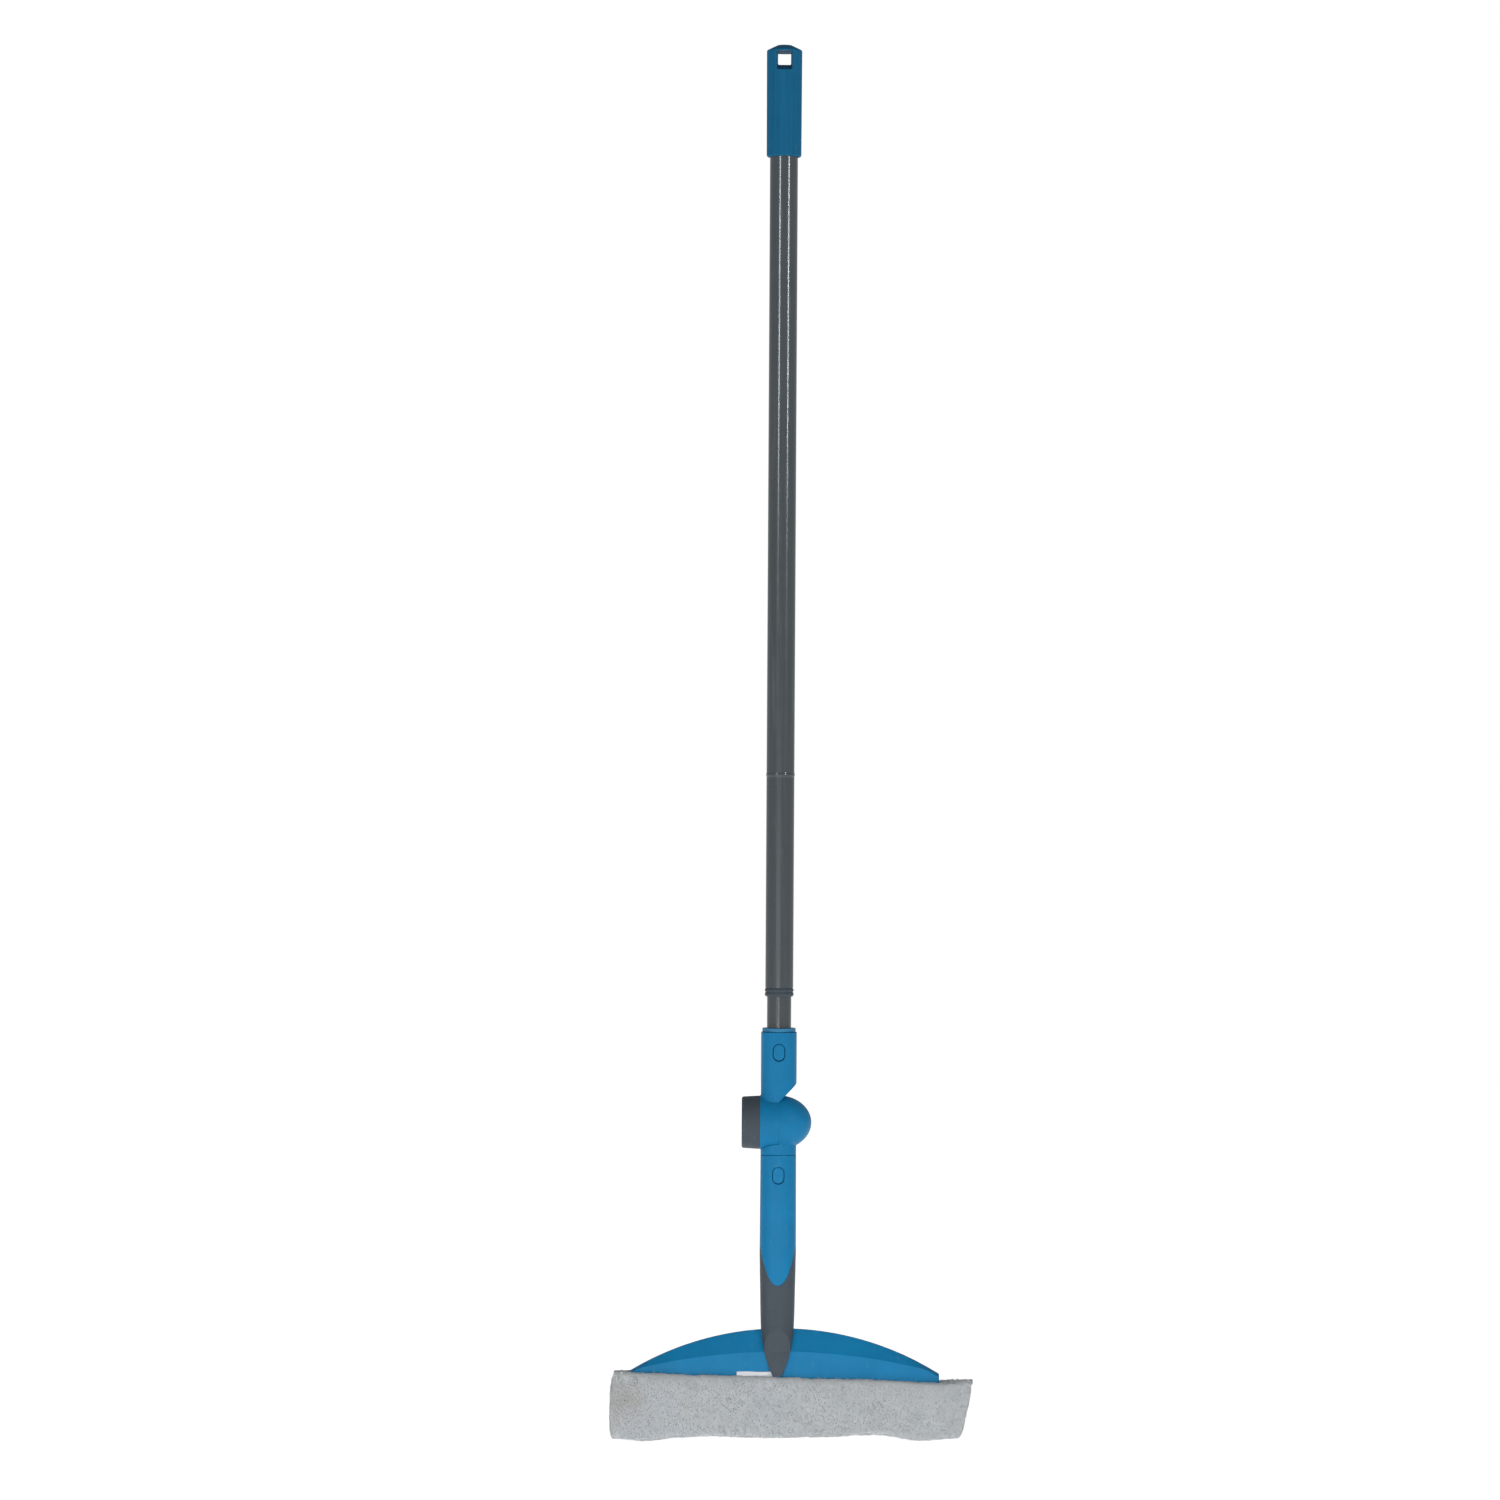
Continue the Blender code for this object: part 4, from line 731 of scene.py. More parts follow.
class WASHER_OT_cap(bpy.types.Operator):
    """Turn the pole's cap and cut its flared hang hole"""

    bl_idname = "washer.cap"
    bl_label = "Pole cap"

    def execute(self, context):
        radius, top, end = CAP_RADIUS, CAP_HIGH.z, CAP_LOW.z
        mouth, bore = radius - 0.3 * MM, TUBE_RADIUS + 0.3 * MM
        shoulder = top - 4.9 * MM
        profile = [
            (0.4 * MM, top),
            (6.0 * MM, top),
            (6.6 * MM, top - 0.12 * MM),
            (7.2 * MM, top - 0.38 * MM),
            (14.9 * MM, shoulder + 0.75 * MM),
            (15.6 * MM, shoulder + 0.3 * MM),
            (radius - 0.1 * MM, shoulder - 0.25 * MM),
            (radius, shoulder - 0.9 * MM),
            (radius - 0.06 * MM, -20 * MM),
            (radius - 0.15 * MM, -50 * MM),
            (radius - 0.24 * MM, -80 * MM),
        ]
        profile += arc((mouth - 1.2 * MM, end + 1.6 * MM), 1.2 * MM, 0, -55, 4)
        profile += [(mouth - 0.9 * MM, end), (bore, end), (bore, -29.7 * MM), (0.4 * MM, -29.7 * MM)]
        cap = turned("pole_cap", profile)
        reach = radius + PAST
        hole = cube("hang_hole_tool", (-5.9 * MM, -reach, -11.5 * MM), (5.9 * MM, reach, 0))
        bpy.ops.mesh.bisect(plane_co=(0, 0, 0), plane_no=(0, 1, 0))
        run = reach / radius
        wide = 1 + run * (14.6 / 11.8 - 1)
        tall = 1 + run * (17.7 / 11.5 - 1)
        pick(hole, "FACE", lambda middle, normal: abs(normal.y) > 0.9)
        resize((wide, 1, tall), (0, 0, 0))
        pick(hole, "EDGE", lambda middle, way: abs(way.y) > 0.7)
        bpy.ops.mesh.bevel(offset=1.1 * MM, segments=4, profile=0.5, affect="EDGES")
        carve(cap, closed(hole))
        tidy_mesh(cap)
        round_edges(cap, 0.5 * MM, 3, 40, lambda middle: 1.0 if middle.z > -16 * MM else 0.0)
        shade(cap)
        fit(cap, "pole_outer", "blue_plastic", "Deep blue plastic", "end_cap")
        return {"FINISHED"}


class WASHER_OT_tubes(bpy.types.Operator):
    """Roll the two tubes, with the stop bead in the upper one"""

    bl_idname = "washer.tubes"
    bl_label = "Pole tubes"

    def execute(self, context):
        top, end, radius = TUBE_HIGH.z, TUBE_LOW.z, TUBE_RADIUS
        bead, proud = end + 194 * MM, TUBE_HIGH.x - TUBE_RADIUS
        profile = [(radius, top), (radius, -200 * MM), (radius, -400 * MM), (radius, bead + 2.2 * MM)]
        for i in range(9):
            share = i / 8
            profile.append((radius + proud * math.sin(math.pi * share), bead + (2 - 4 * share) * MM))
        profile += [
            (radius, bead - 2.2 * MM),
            (radius, end + 0.3 * MM),
            (radius - 0.1 * MM, end + 0.08 * MM),
            (radius - 0.25 * MM, end),
            (radius - TUBE_WALL, end),
            (radius - TUBE_WALL, top),
        ]
        upper = turned("upper_tube", profile, 128, hollow=True)
        shade(upper, 40)
        fit(upper, "pole_outer", "tube_paint", "Grey enamel", "outer_tube")

        top, end, radius = INNER_HIGH.z, INNER_LOW.z, INNER_RADIUS
        profile = [(radius, top), (radius, -400 * MM), (radius, -700 * MM), (radius, end)]
        profile += [(radius - TUBE_WALL, end), (radius - TUBE_WALL, top)]
        lower = turned("lower_tube", profile, 128, hollow=True)
        shade(lower, 40)
        fit(lower, "pole_inner", "tube_paint", "Grey enamel", "inner_tube")
        return {"FINISHED"}


class WASHER_OT_bush(bpy.types.Operator):
    """Turn the bush in the upper tube's mouth, with the two beads on its collar"""

    bl_idname = "washer.bush"
    bl_label = "Guide bush"

    def execute(self, context):
        top = TUBE_LOW.z - 0.3 * MM
        height = top - BUSH_LOW.z
        waist, proud = TUBE_RADIUS - 0.25 * MM, BUSH_HIGH.x - TUBE_RADIUS + 0.25 * MM
        insert, bore = TUBE_RADIUS - TUBE_WALL - 0.25 * MM, INNER_RADIUS + 0.25 * MM
        profile = [(insert, BUSH_HIGH.z), (insert, top), (waist, top)]
        for start, end in ((0.04, 0.42), (0.5, 0.93)):
            for i in range(11):
                share = i / 10
                bulge = math.sin(math.pi * share) ** 0.6
                profile.append((waist + proud * bulge, top - height * (start + (end - start) * share)))
        profile += [(waist - 0.15 * MM, BUSH_LOW.z + 0.1 * MM), (waist - 0.4 * MM, BUSH_LOW.z)]
        profile += [(bore, BUSH_LOW.z), (bore, BUSH_HIGH.z)]
        bush = turned("tube_bush", profile, hollow=True)
        shade(bush, 50)
        fit(bush, "pole_outer", "grey_plastic", "Grey plastic", "guide_bush")
        return {"FINISHED"}


class WASHER_OT_plug(bpy.types.Operator):
    """Turn the plug in the inner tube, with its collar and click spigot"""

    bl_idname = "washer.plug"
    bl_label = "Pole plug"

    def execute(self, context):
        collar_top, shoulder = INNER_LOW.z - 0.3 * MM, SOCKET_HIGH.z + 0.3 * MM
        collar = PLUG_HIGH.x
        foot = PLUG_LOW.z
        profile = [
            (0.4 * MM, PLUG_HIGH.z),
            (9.6 * MM, PLUG_HIGH.z),
            (10.15 * MM, PLUG_HIGH.z - 1 * MM),
            (10.15 * MM, collar_top),
            (collar - 0.5 * MM, collar_top),
            (collar - 0.12 * MM, collar_top - 0.15 * MM),
            (collar, collar_top - 0.5 * MM),
            (collar, shoulder + 0.4 * MM),
            (collar - 0.15 * MM, shoulder + 0.1 * MM),
            (collar - 0.45 * MM, shoulder),
            (SPIGOT_RADIUS, shoulder),
            (SPIGOT_RADIUS, foot + 1 * MM),
            (SPIGOT_RADIUS - 0.8 * MM, foot),
            (SPIGOT_BORE, foot),
            (SPIGOT_BORE, shoulder - 3 * MM),
            (0.4 * MM, shoulder - 3 * MM),
        ]
        plug = turned("pole_end_plug", profile)
        centre = (UPPER_BUTTON_LOW.z + UPPER_BUTTON_HIGH.z) / 2
        carve(plug, button_opening("plug_opening", centre, 10 * MM, 14.7 * MM))
        shade(plug)
        fit(plug, "pole_inner", "blue_plastic", "Light blue plastic", "pole_plug")
        return {"FINISHED"}


class WASHER_OT_joint_socket(bpy.types.Operator):
    """Model the joint's upper half: the socket for the pole, its slanted end and the clamped disc"""

    bl_idname = "washer.joint_socket"
    bl_label = "Joint socket"

    def execute(self, context):
        sizes = context.scene.washer_sizes
        top, low = SOCKET_HIGH.z, HINGE_Z + 1 * MM
        socket = column(
            "joint_socket",
            [
                (top, SOCKET_HALF_WIDTH, SOCKET_HALF_DEPTH),
                (top - 40 * MM, SOCKET_HALF_WIDTH, SOCKET_HALF_DEPTH),
                (low, SOCKET_HALF_WIDTH, SOCKET_HALF_DEPTH),
            ],
        )
        notch, corner, reach = -1.7 * MM, HINGE_Z + 17.1 * MM, 60 * MM
        rise = corner + 1.02 * (reach - notch)
        slant = [(notch, corner), (notch, HINGE_Z - reach), (reach, HINGE_Z - reach), (reach, rise)]
        carve(socket, prism("slant_tool", slant, -reach, reach, "Y"))
        carve(socket, rod("joint_disc_blank", DISC_RADIUS, DISC_LEFT_X, 1 * MM, "X", 128), "UNION")
        face = -0.04 * MM
        carve(socket, rod("dome_room", DOME_RADIUS + 0.5 * MM, face, reach, "X"))
        carve(socket, rod("pole_bore", SOCKET_BORE, top - SOCKET_DEPTH, top + PAST))
        centre = (UPPER_BUTTON_LOW.z + UPPER_BUTTON_HIGH.z) / 2
        carve(socket, button_opening("socket_opening", centre, 10 * MM, 14.7 * MM))
        carve(socket, rod("bolt_bore", 3.4 * MM, DISC_LEFT_X - PAST, PAST, "X", 48))
        recess_end = DISC_LEFT_X + 2.2 * MM
        carve(socket, rod("washer_recess", WASHER_HIGH.y + 0.3 * MM, DISC_LEFT_X - PAST, recess_end, "X"))
        ring = [
            (RING_HIGH.y + 0.3 * MM, PAST),
            (RING_HIGH.y + 0.3 * MM, RING_LOW.x - 0.3 * MM),
            (7.7 * MM, RING_LOW.x - 0.3 * MM),
            (7.7 * MM, PAST),
        ]
        carve(socket, turned("friction_recess", ring, hollow=True, along="X"))
        tidy_mesh(socket)

        def softness(middle):
            """The shapes run softly together outside. The bores and the face against the dome stay crisp."""
            from_hinge = math.hypot(middle.y, middle.z - HINGE_Z)
            from_axis = math.hypot(middle.x, middle.y)
            if from_hinge < DISC_RADIUS - 1 * MM and middle.z < HINGE_Z + 18 * MM:
                return 0.0
            if middle.x > face - 0.1 * MM and from_hinge < DOME_RADIUS + 0.6 * MM:
                return 0.0
            if from_axis < SOCKET_BORE + 0.5 * MM and middle.z > HINGE_Z + 30 * MM:
                return 0.25 if middle.z > top - 0.1 * MM else 0.0
            if middle.z > top - 0.1 * MM:
                return 0.5
            if -4 * MM < middle.x < 4 * MM and HINGE_Z + 14 * MM < middle.z < HINGE_Z + 26 * MM:
                return 0.25
            if abs(middle.x) < 5.7 * MM and abs(middle.z - centre) < 8 * MM:
                return 0.4
            return 0.4 if middle.x < DISC_LEFT_X + 0.1 * MM else 1.0

        round_edges(socket, sizes.soft_edge, 4, 38, softness)
        shade(socket, 34)
        fit(socket, "pole_inner", "blue_plastic", "Blue plastic", "joint_upper")
        return {"FINISHED"}


class WASHER_OT_joint_dome(bpy.types.Operator):
    """Model the joint's lower half: the dome with the nut's slot, its neck and the click spigot"""

    bl_idname = "washer.joint_dome"
    bl_label = "Joint dome"

    def execute(self, context):
        sizes = context.scene.washer_sizes
        face, tip = 0.04 * MM, DOME_HIGH.x
        profile = [(0.5 * MM, tip)]
        for i in range(1, 33):
            angle = math.pi / 2 * i / 32
            profile.append((DOME_RADIUS * math.sin(angle), face + (tip - face) * math.cos(angle)))
        dome = turned("joint_dome", profile, 128, along="X")
        foot = HANDLE_TOP_Z + 0.3 * MM
        neck_top = HINGE_Z - DOME_RADIUS / 2
        half = (SOCKET_HALF_WIDTH, SOCKET_HALF_DEPTH)
        neck = column("neck_blank", [(neck_top, *half), (foot + 2 * MM, *half), (foot, *half)])
        carve(neck, rod("disc_room", DISC_RADIUS + 0.4 * MM, -60 * MM, 0.5 * MM, "X", 128))
        carve(dome, neck, "UNION")
        tidy_mesh(dome)
        joint_side, neck_top = 0.6 * MM, HINGE_Z - 18 * MM
        round_edges(
            dome,
            sizes.hard_edge,
            3,
            40,
            lambda middle: 0.0 if middle.x < joint_side and middle.z > neck_top else 1.0,
        )
        spigot = [
            (0.4 * MM, foot + 1 * MM),
            (SPIGOT_RADIUS, foot + 1 * MM),
            (SPIGOT_RADIUS, foot - SPIGOT_LENGTH + 1 * MM),
            (SPIGOT_RADIUS - 0.8 * MM, foot - SPIGOT_LENGTH),
            (SPIGOT_BORE, foot - SPIGOT_LENGTH),
            (SPIGOT_BORE, foot - 3 * MM),
            (0.4 * MM, foot - 3 * MM),
        ]
        carve(dome, turned("spigot_blank", spigot), "UNION")
        carve(dome, rod("bolt_bore", 3.4 * MM, -PAST, 20.6 * MM, "X", 48))
        half = NUT_HIGH.y + 0.3 * MM
        low = (NUT_LOW.x - 0.3 * MM, -half, HINGE_Z - half)
        slot = block("nut_slot", low, (NUT_HIGH.x + 0.3 * MM, DOME_RADIUS + PAST, HINGE_Z + half))
        carve(dome, slot)
        centre = (LOWER_BUTTON_LOW.z + LOWER_BUTTON_HIGH.z) / 2
        carve(dome, button_opening("spigot_opening", centre, 10 * MM, 14.7 * MM))
        tidy_mesh(dome, 0.005 * MM)
        shade(dome, 34)
        fit(dome, "head", "blue_plastic", "Blue plastic", "joint_lower")
        return {"FINISHED"}


class WASHER_OT_knob(bpy.types.Operator):
    """Turn the clamping knob and its cover"""

    bl_idname = "washer.knob"
    bl_label = "Clamping knob"

    def execute(self, context):
        left, right = KNOB_LOW.x, KNOB_HIGH.x
        outer, inner = KNOB_HIGH.y, KNOB_HIGH.y - 0.8 * MM
        seat, floor = COVER_DISC_HIGH.y + 0.3 * MM, COVER_DISC_HIGH.x + 0.3 * MM
        hollow = right - 8 * MM
        boss = WASHER_LOW.x - 0.3 * MM
        profile = [
            (outer - 0.35 * MM, right),
            (outer - 0.08 * MM, right - 0.12 * MM),
            (outer, right - 0.5 * MM),
            (outer - 0.3 * MM, right - 6 * MM),
        ]
        profile += arc((inner - 2 * MM, left + 2 * MM), 2 * MM, 0, -90, 9)
        profile += [
            (seat + 0.4 * MM, left),
            (seat + 0.1 * MM, left + 0.1 * MM),
            (seat, left + 0.4 * MM),
            (seat, floor),
            (3.4 * MM, floor),
            (3.4 * MM, boss),
            (9 * MM, boss),
            (9 * MM, hollow),
            (outer - 2.6 * MM, hollow),
            (outer - 2.6 * MM, right),
        ]
        knob = turned("clamp_wheel", profile, 128, hollow=True, along="X")
        hexagon = rod("hexagon_tool", 6.1 * MM, floor - 0.3 * MM, floor + 5 * MM, "X", 6)
        carve(knob, hexagon)
        shade(knob, 34)
        fit(knob, "clamp_knob", "grey_plastic", "Grey plastic", "knob")

        edge = COVER_DISC_HIGH.y
        profile = [
            (0.4 * MM, COVER_DISC_HIGH.x),
            (edge, COVER_DISC_HIGH.x),
            (edge, COVER_DISC_LOW.x + 0.4 * MM),
            (edge - 0.12 * MM, COVER_DISC_LOW.x + 0.12 * MM),
            (edge - 0.45 * MM, COVER_DISC_LOW.x),
            (edge - 2.4 * MM, COVER_DISC_LOW.x),
            (edge - 2.9 * MM, COVER_DISC_LOW.x + 0.35 * MM),
            (4 * MM, COVER_DISC_LOW.x + 0.5 * MM),
            (0.4 * MM, COVER_DISC_LOW.x + 0.5 * MM),
        ]
        disc = turned("wheel_cover", profile, along="X")
        shade(disc, 34)
        fit(disc, "clamp_knob", "grey_plastic", "Grey plastic", "knob_cover")
        return {"FINISHED"}


class WASHER_OT_buttons(bpy.types.Operator):
    """Model a click button and set one in each socket"""

    bl_idname = "washer.buttons"
    bl_label = "Click buttons"

    def execute(self, context):
        low, high = UPPER_BUTTON_LOW, UPPER_BUTTON_HIGH
        centre = (low.z + high.z) / 2
        seat = high.y - 1.4 * MM
        button = oval_block("upper_click_button", 10 * MM, 14.7 * MM, centre, low.y, seat)
        take(button)
        bpy.ops.object.mode_set(mode="EDIT")
        pick(button, "FACE", lambda middle, normal: normal.y < -0.9)
        bpy.ops.mesh.inset(thickness=0.9 * MM, depth=0)
        bpy.ops.transform.translate(value=(0, -0.18 * MM, 0))
        pick(button, "FACE", lambda middle, normal: normal.y > 0.9)
        draw((0, 0, 0))
        resize((1 + 2.2 / 10, 1, 1 + 2.2 / 14.7), (0, 0, centre))
        draw((0, high.y - seat, 0))
        closed(button)
        round_edges(button, 0.35 * MM, 3, 50)
        shade(button, 34)
        other = copied(button, "lower_click_button", (0, 0, LOWER_BUTTON_LOW.z - UPPER_BUTTON_LOW.z))
        fit(button, "pole_button", "blue_plastic", "Blue plastic", "button_upper")
        fit(other, "head_button", "blue_plastic", "Blue plastic", "button_lower")
        return {"FINISHED"}


class WASHER_OT_handle(bpy.types.Operator):
    """Model the handle: the blue socket with its tongue ends, and the grey neck that forks over the crescent"""

    bl_idname = "washer.handle"
    bl_label = "Handle"

    def execute(self, context):
        sizes = context.scene.washer_sizes
        top = HANDLE_TOP_Z
        shell = column("handle_socket", handle_sections())
        carve(shell, below_shell("shell_end_tool", 0))
        tidy_mesh(shell)
        round_edges(shell, sizes.hard_edge, 3, 40)
        carve(shell, rod("spigot_bore", SOCKET_BORE, top - SOCKET_DEPTH, top + PAST))
        carve(shell, rod("core_bore", 11.2 * MM, NECK_LOW.z, top - SOCKET_DEPTH + 1 * MM))
        centre = (LOWER_BUTTON_LOW.z + LOWER_BUTTON_HIGH.z) / 2
        carve(shell, button_opening("shell_opening", centre, 10 * MM, 14.7 * MM))
        tidy_mesh(shell)
        shade(shell, 30)
        fit(shell, "head", "blue_plastic", "Blue plastic", "handle_shell")

        fork = [
            (HEAD_TOP_Z - 1.3 * MM, 14.9 * MM, 15.5 * MM),
            (FOLD_Z + 9.3 * MM, 14.0 * MM, 18.5 * MM),
            (FOLD_Z, 12.7 * MM, 22 * MM),
            (FOLD_Z - 5.3 * MM, 11.3 * MM, 24 * MM),
            (FOLD_Z - 10.5 * MM, 9.4 * MM, 24 * MM),
            (FOLD_Z - 15.8 * MM, 7.3 * MM, 24 * MM),
            (FOLD_Z - 19.8 * MM, 5.6 * MM, 24 * MM),
            (NECK_LOW.z, 3.9 * MM, 24 * MM),
        ]
        neck = column("handle_fork", handle_sections() + fork)
        carve(neck, below_shell("neck_zone", 0.15 * MM), "INTERSECT")
        facets = [
            (16.4 * MM, HEAD_TOP_Z + 4 * MM),
            (12.2 * MM, FOLD_Z),
            (15.2 * MM, NECK_LOW.z - 1 * MM),
            (60 * MM, NECK_LOW.z - 1 * MM),
            (60 * MM, HEAD_TOP_Z + 4 * MM),
        ]
        carve(neck, prism("front_facets", [(-y, z) for y, z in facets], -60 * MM, 60 * MM, "X"))
        carve(neck, prism("back_facets", facets, -60 * MM, 60 * MM, "X"))
        core = rod("neck_core", 10.9 * MM, top - 122 * MM, top - 56 * MM)
        carve(neck, core, "UNION")
        front = crescent_half("fork_room_front", 1 * MM, HEAD_FOOT_Z - 6 * MM, 0.15 * MM)
        carve(neck, copied(front, "fork_room_back", mirror_y=True))
        carve(neck, front)
        carve(neck, rod("fork_screw_hole", 1.7 * MM, 0, 30 * MM, "Y", 24))
        tidy_mesh(neck)

        def outer_edge(middle):
            """The core and the fork's inner faces stay crisp."""
            in_fork = middle.z < HEAD_TOP_Z + 1 * MM and abs(middle.y) < 11.3 * MM
            return 0.0 if in_fork or math.hypot(middle.x, middle.y) < 11.1 * MM else 1.0

        round_edges(neck, 0.45 * MM, 2, 40, outer_edge)
        shade(neck, 30)
        crease(neck, 7, 20)
        fit(neck, "head", "grey_plastic", "Grey plastic", "handle_neck")
        return {"FINISHED"}


class WASHER_OT_crescent(bpy.types.Operator):
    """Model the crescent's two hollow halves"""

    bl_idname = "washer.crescent"
    bl_label = "Crescent"

    def execute(self, context):
        foot = HEAD_FOOT_Z - 8 * MM
        front = crescent_half("crescent_front", -0.1 * MM, foot)
        carve(front, crescent_half("crescent_hollow", 0.5 * MM, foot - 4 * MM, -2.2 * MM, 30))
        back = copied(front, "crescent_back", mirror_y=True)
        for i in (-2, -1, 1, 2):
            hole = rod("screw_seat", 3.3 * MM, 7.4 * MM, 30 * MM, "Y", 48)
            place(hole, (i * 42 * MM, 0, 0))
            carve(back, hole)
        for half, node in ((front, "head_front"), (back, "head_back")):
            tidy_mesh(half)
            round_edges(half, 1.6 * MM, 4, 60, self.end_edge)
            shade(half, 32)
            take(half)
            bpy.ops.object.mode_set(mode="EDIT")
            pick(half, "EDGE", self.on_facet_line)
            bpy.ops.mesh.mark_sharp()
            closed(half)
            fit(half, "head", "blue_plastic", "Blue plastic", node)
        return {"FINISHED"}

    @staticmethod
    def end_edge(middle):
        """Only the upright outer edges at the crescent's two ends are rounded."""
        from_end = HEAD_HIGH.x - abs(middle.x - HEAD_SHIFT)
        off_parting = abs(middle.y) > 3 * MM and middle.z > HEAD_FOOT_Z - 7 * MM
        return 1.0 if abs(from_end) < 0.1 * MM and off_parting else 0.0

    @staticmethod
    def on_facet_line(middle, way):
        facet = crescent_edges(middle.x - HEAD_SHIFT)[1]
        level = abs(middle.z - facet[1]) < 0.5 * MM
        return abs(way.x) > 0.8 and level and abs(abs(middle.y) - facet[0]) < 0.6 * MM


class WASHER_OT_screws(bpy.types.Operator):
    """Model a cross-head screw and set the five in the head"""

    bl_idname = "washer.screws"
    bl_label = "Head screws"

    def execute(self, context):
        head, shank = 3.0 * MM, 1.4 * MM
        length = SCREW_HIGH.y - SCREW_LOW.y - 1.8 * MM
        profile = [(0.3 * MM, 1.8 * MM), (1.2 * MM, 1.74 * MM), (2.1 * MM, 1.45 * MM), (2.75 * MM, 0.95 * MM)]
        profile += [(head, 0.45 * MM), (head, 0), (shank, 0)]
        turns = 14
        for i in range(turns):
            z = -0.6 * MM - (length - 1.6 * MM) * i / (turns - 1)
            profile += [(shank, z), (shank - 0.22 * MM, z - 0.25 * MM)]
        profile += [(0.3 * MM, -length)]
        screw = turned("head_screw_end", profile, 32)
        for turn in (0, 90):
            arm = cube("cross_tool", (-1.7 * MM, -0.35 * MM, 0.55 * MM), (1.7 * MM, 0.35 * MM, 3 * MM))
            pick(arm, "FACE", lambda middle, normal: normal.z < -0.9)
            resize((0.45, 0.8, 1), (0, 0, 0.55 * MM))
            closed(arm)
            place(arm, (0, 0, 0), (0, 0, math.radians(turn + 20)))
            carve(screw, arm)
        shade(screw, 30)
        for i, x in enumerate((-2, -1, 0, 1, 2)):
            node = f"head_screw_{i + 1}"
            piece = copied(screw, f"cross_screw_{i + 1}")
            place(piece, (x * 42 * MM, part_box(node)[1].y - 1.8 * MM, SCREW_Z), (-math.pi / 2, 0, 0))
            fit(piece, "head", "zinc_steel", "Zinc plate", node)
        bpy.data.objects.remove(screw)
        return {"FINISHED"}


def between(value, table):
    """Reads a (place, amount) table at a value, smoothly."""
    if value <= table[0][0]:
        return table[0][1]
    for (start, first), (end, last) in zip(table, table[1:]):
        if value <= end:
            share = (value - start) / (end - start)
            return first + (last - first) * share * share * (3 - 2 * share)
    return table[-1][1]


# How the cover hangs out of true, in millimetres: along X, then the amount there
COVER_TOP_LINE = ((-160, 3.8), (-60, 1.8), (60, -1.0), (150, -4.6), (165, -5.4), (172, -4.0))
COVER_FOOT_LINE = (
    (-160, -1.2), (-118, -2.4), (-100, 0.6), (-60, 2.4), (-20, 0.8), (30, 1.8), (85, 4.4), (125, -0.8), (160, 1.2)
)
# and up the two sides: above the cover's foot, then the amount along X
COVER_LEFT_LINE = ((0, 1.5), (10, -0.5), (40, 0.0), (58, 2.5))
COVER_RIGHT_LINE = ((0, -7.5), (14, -3.2), (30, -0.4), (46, 2.0), (58, 3.6))


def fleece_block(name, pile):
    """The cover's stuffed form, a little inside its fibres' tips: a fine cage pulled out of true."""
    low = FLEECE_LOW + Vector((1, 1, 1)) * pile
    high = FLEECE_HIGH - Vector((1, 1, 0.2)) * pile
    piece = cube(name, low, high)
    for axis, cuts in ((0, 35), (2, 7), (1, 3)):
        pick(piece, "EDGE", lambda middle, way: abs(way[axis]) > 0.9)
        bpy.ops.mesh.subdivide(number_cuts=cuts)
    corner = Vector((high.x - low.x, 0, high.z - low.z)) / 2
    middle, half = (low + high) / 2, (high - low) / 2
    pick(
        piece,
        "EDGE",
        lambda spot, way: abs(way.y) > 0.9
        and abs(abs(spot.x - middle.x) - corner.x) < 0.1 * MM
        and abs(abs(spot.z - middle.z) - corner.z) < 0.1 * MM,
    )
    bpy.ops.transform.edge_crease(value=0.8)
    closed(piece)
    for vertex in piece.data.vertices:
        place_x, rise = vertex.co.x / MM, (vertex.co.z - low.z) / (high.z - low.z)
        above = (vertex.co.z - FLEECE_LOW.z) / MM
        side = (vertex.co.x - middle.x) / half.x
        vertex.co.z += MM * (
            rise**2 * between(place_x, COVER_TOP_LINE) + (1 - rise) ** 2 * between(place_x, COVER_FOOT_LINE)
        )
        if side < -0.8:
            vertex.co.x += MM * between(above, COVER_LEFT_LINE) * (-side - 0.8) / 0.2
        if side > 0.8:
            vertex.co.x += MM * between(above, COVER_RIGHT_LINE) * (side - 0.8) / 0.2
        slack = 0.9 + 0.1 * math.sin(math.pi * min(1, 0.18 + 0.8 * (1 - rise)))
        vertex.co.y *= slack * (1 - 0.5 * max(0, (abs(side) - 0.8) / 0.2) ** 1.6)
        ear = math.exp(-((vertex.co.x - high.x) ** 2 + (vertex.co.z - high.z) ** 2) / (9 * MM) ** 2)
        vertex.co.z += 3.4 * MM * ear
        vertex.co.x += 1.2 * MM * ear
    apply_modifier(piece, "SUBSURF", levels=2, render_levels=2)
    return piece


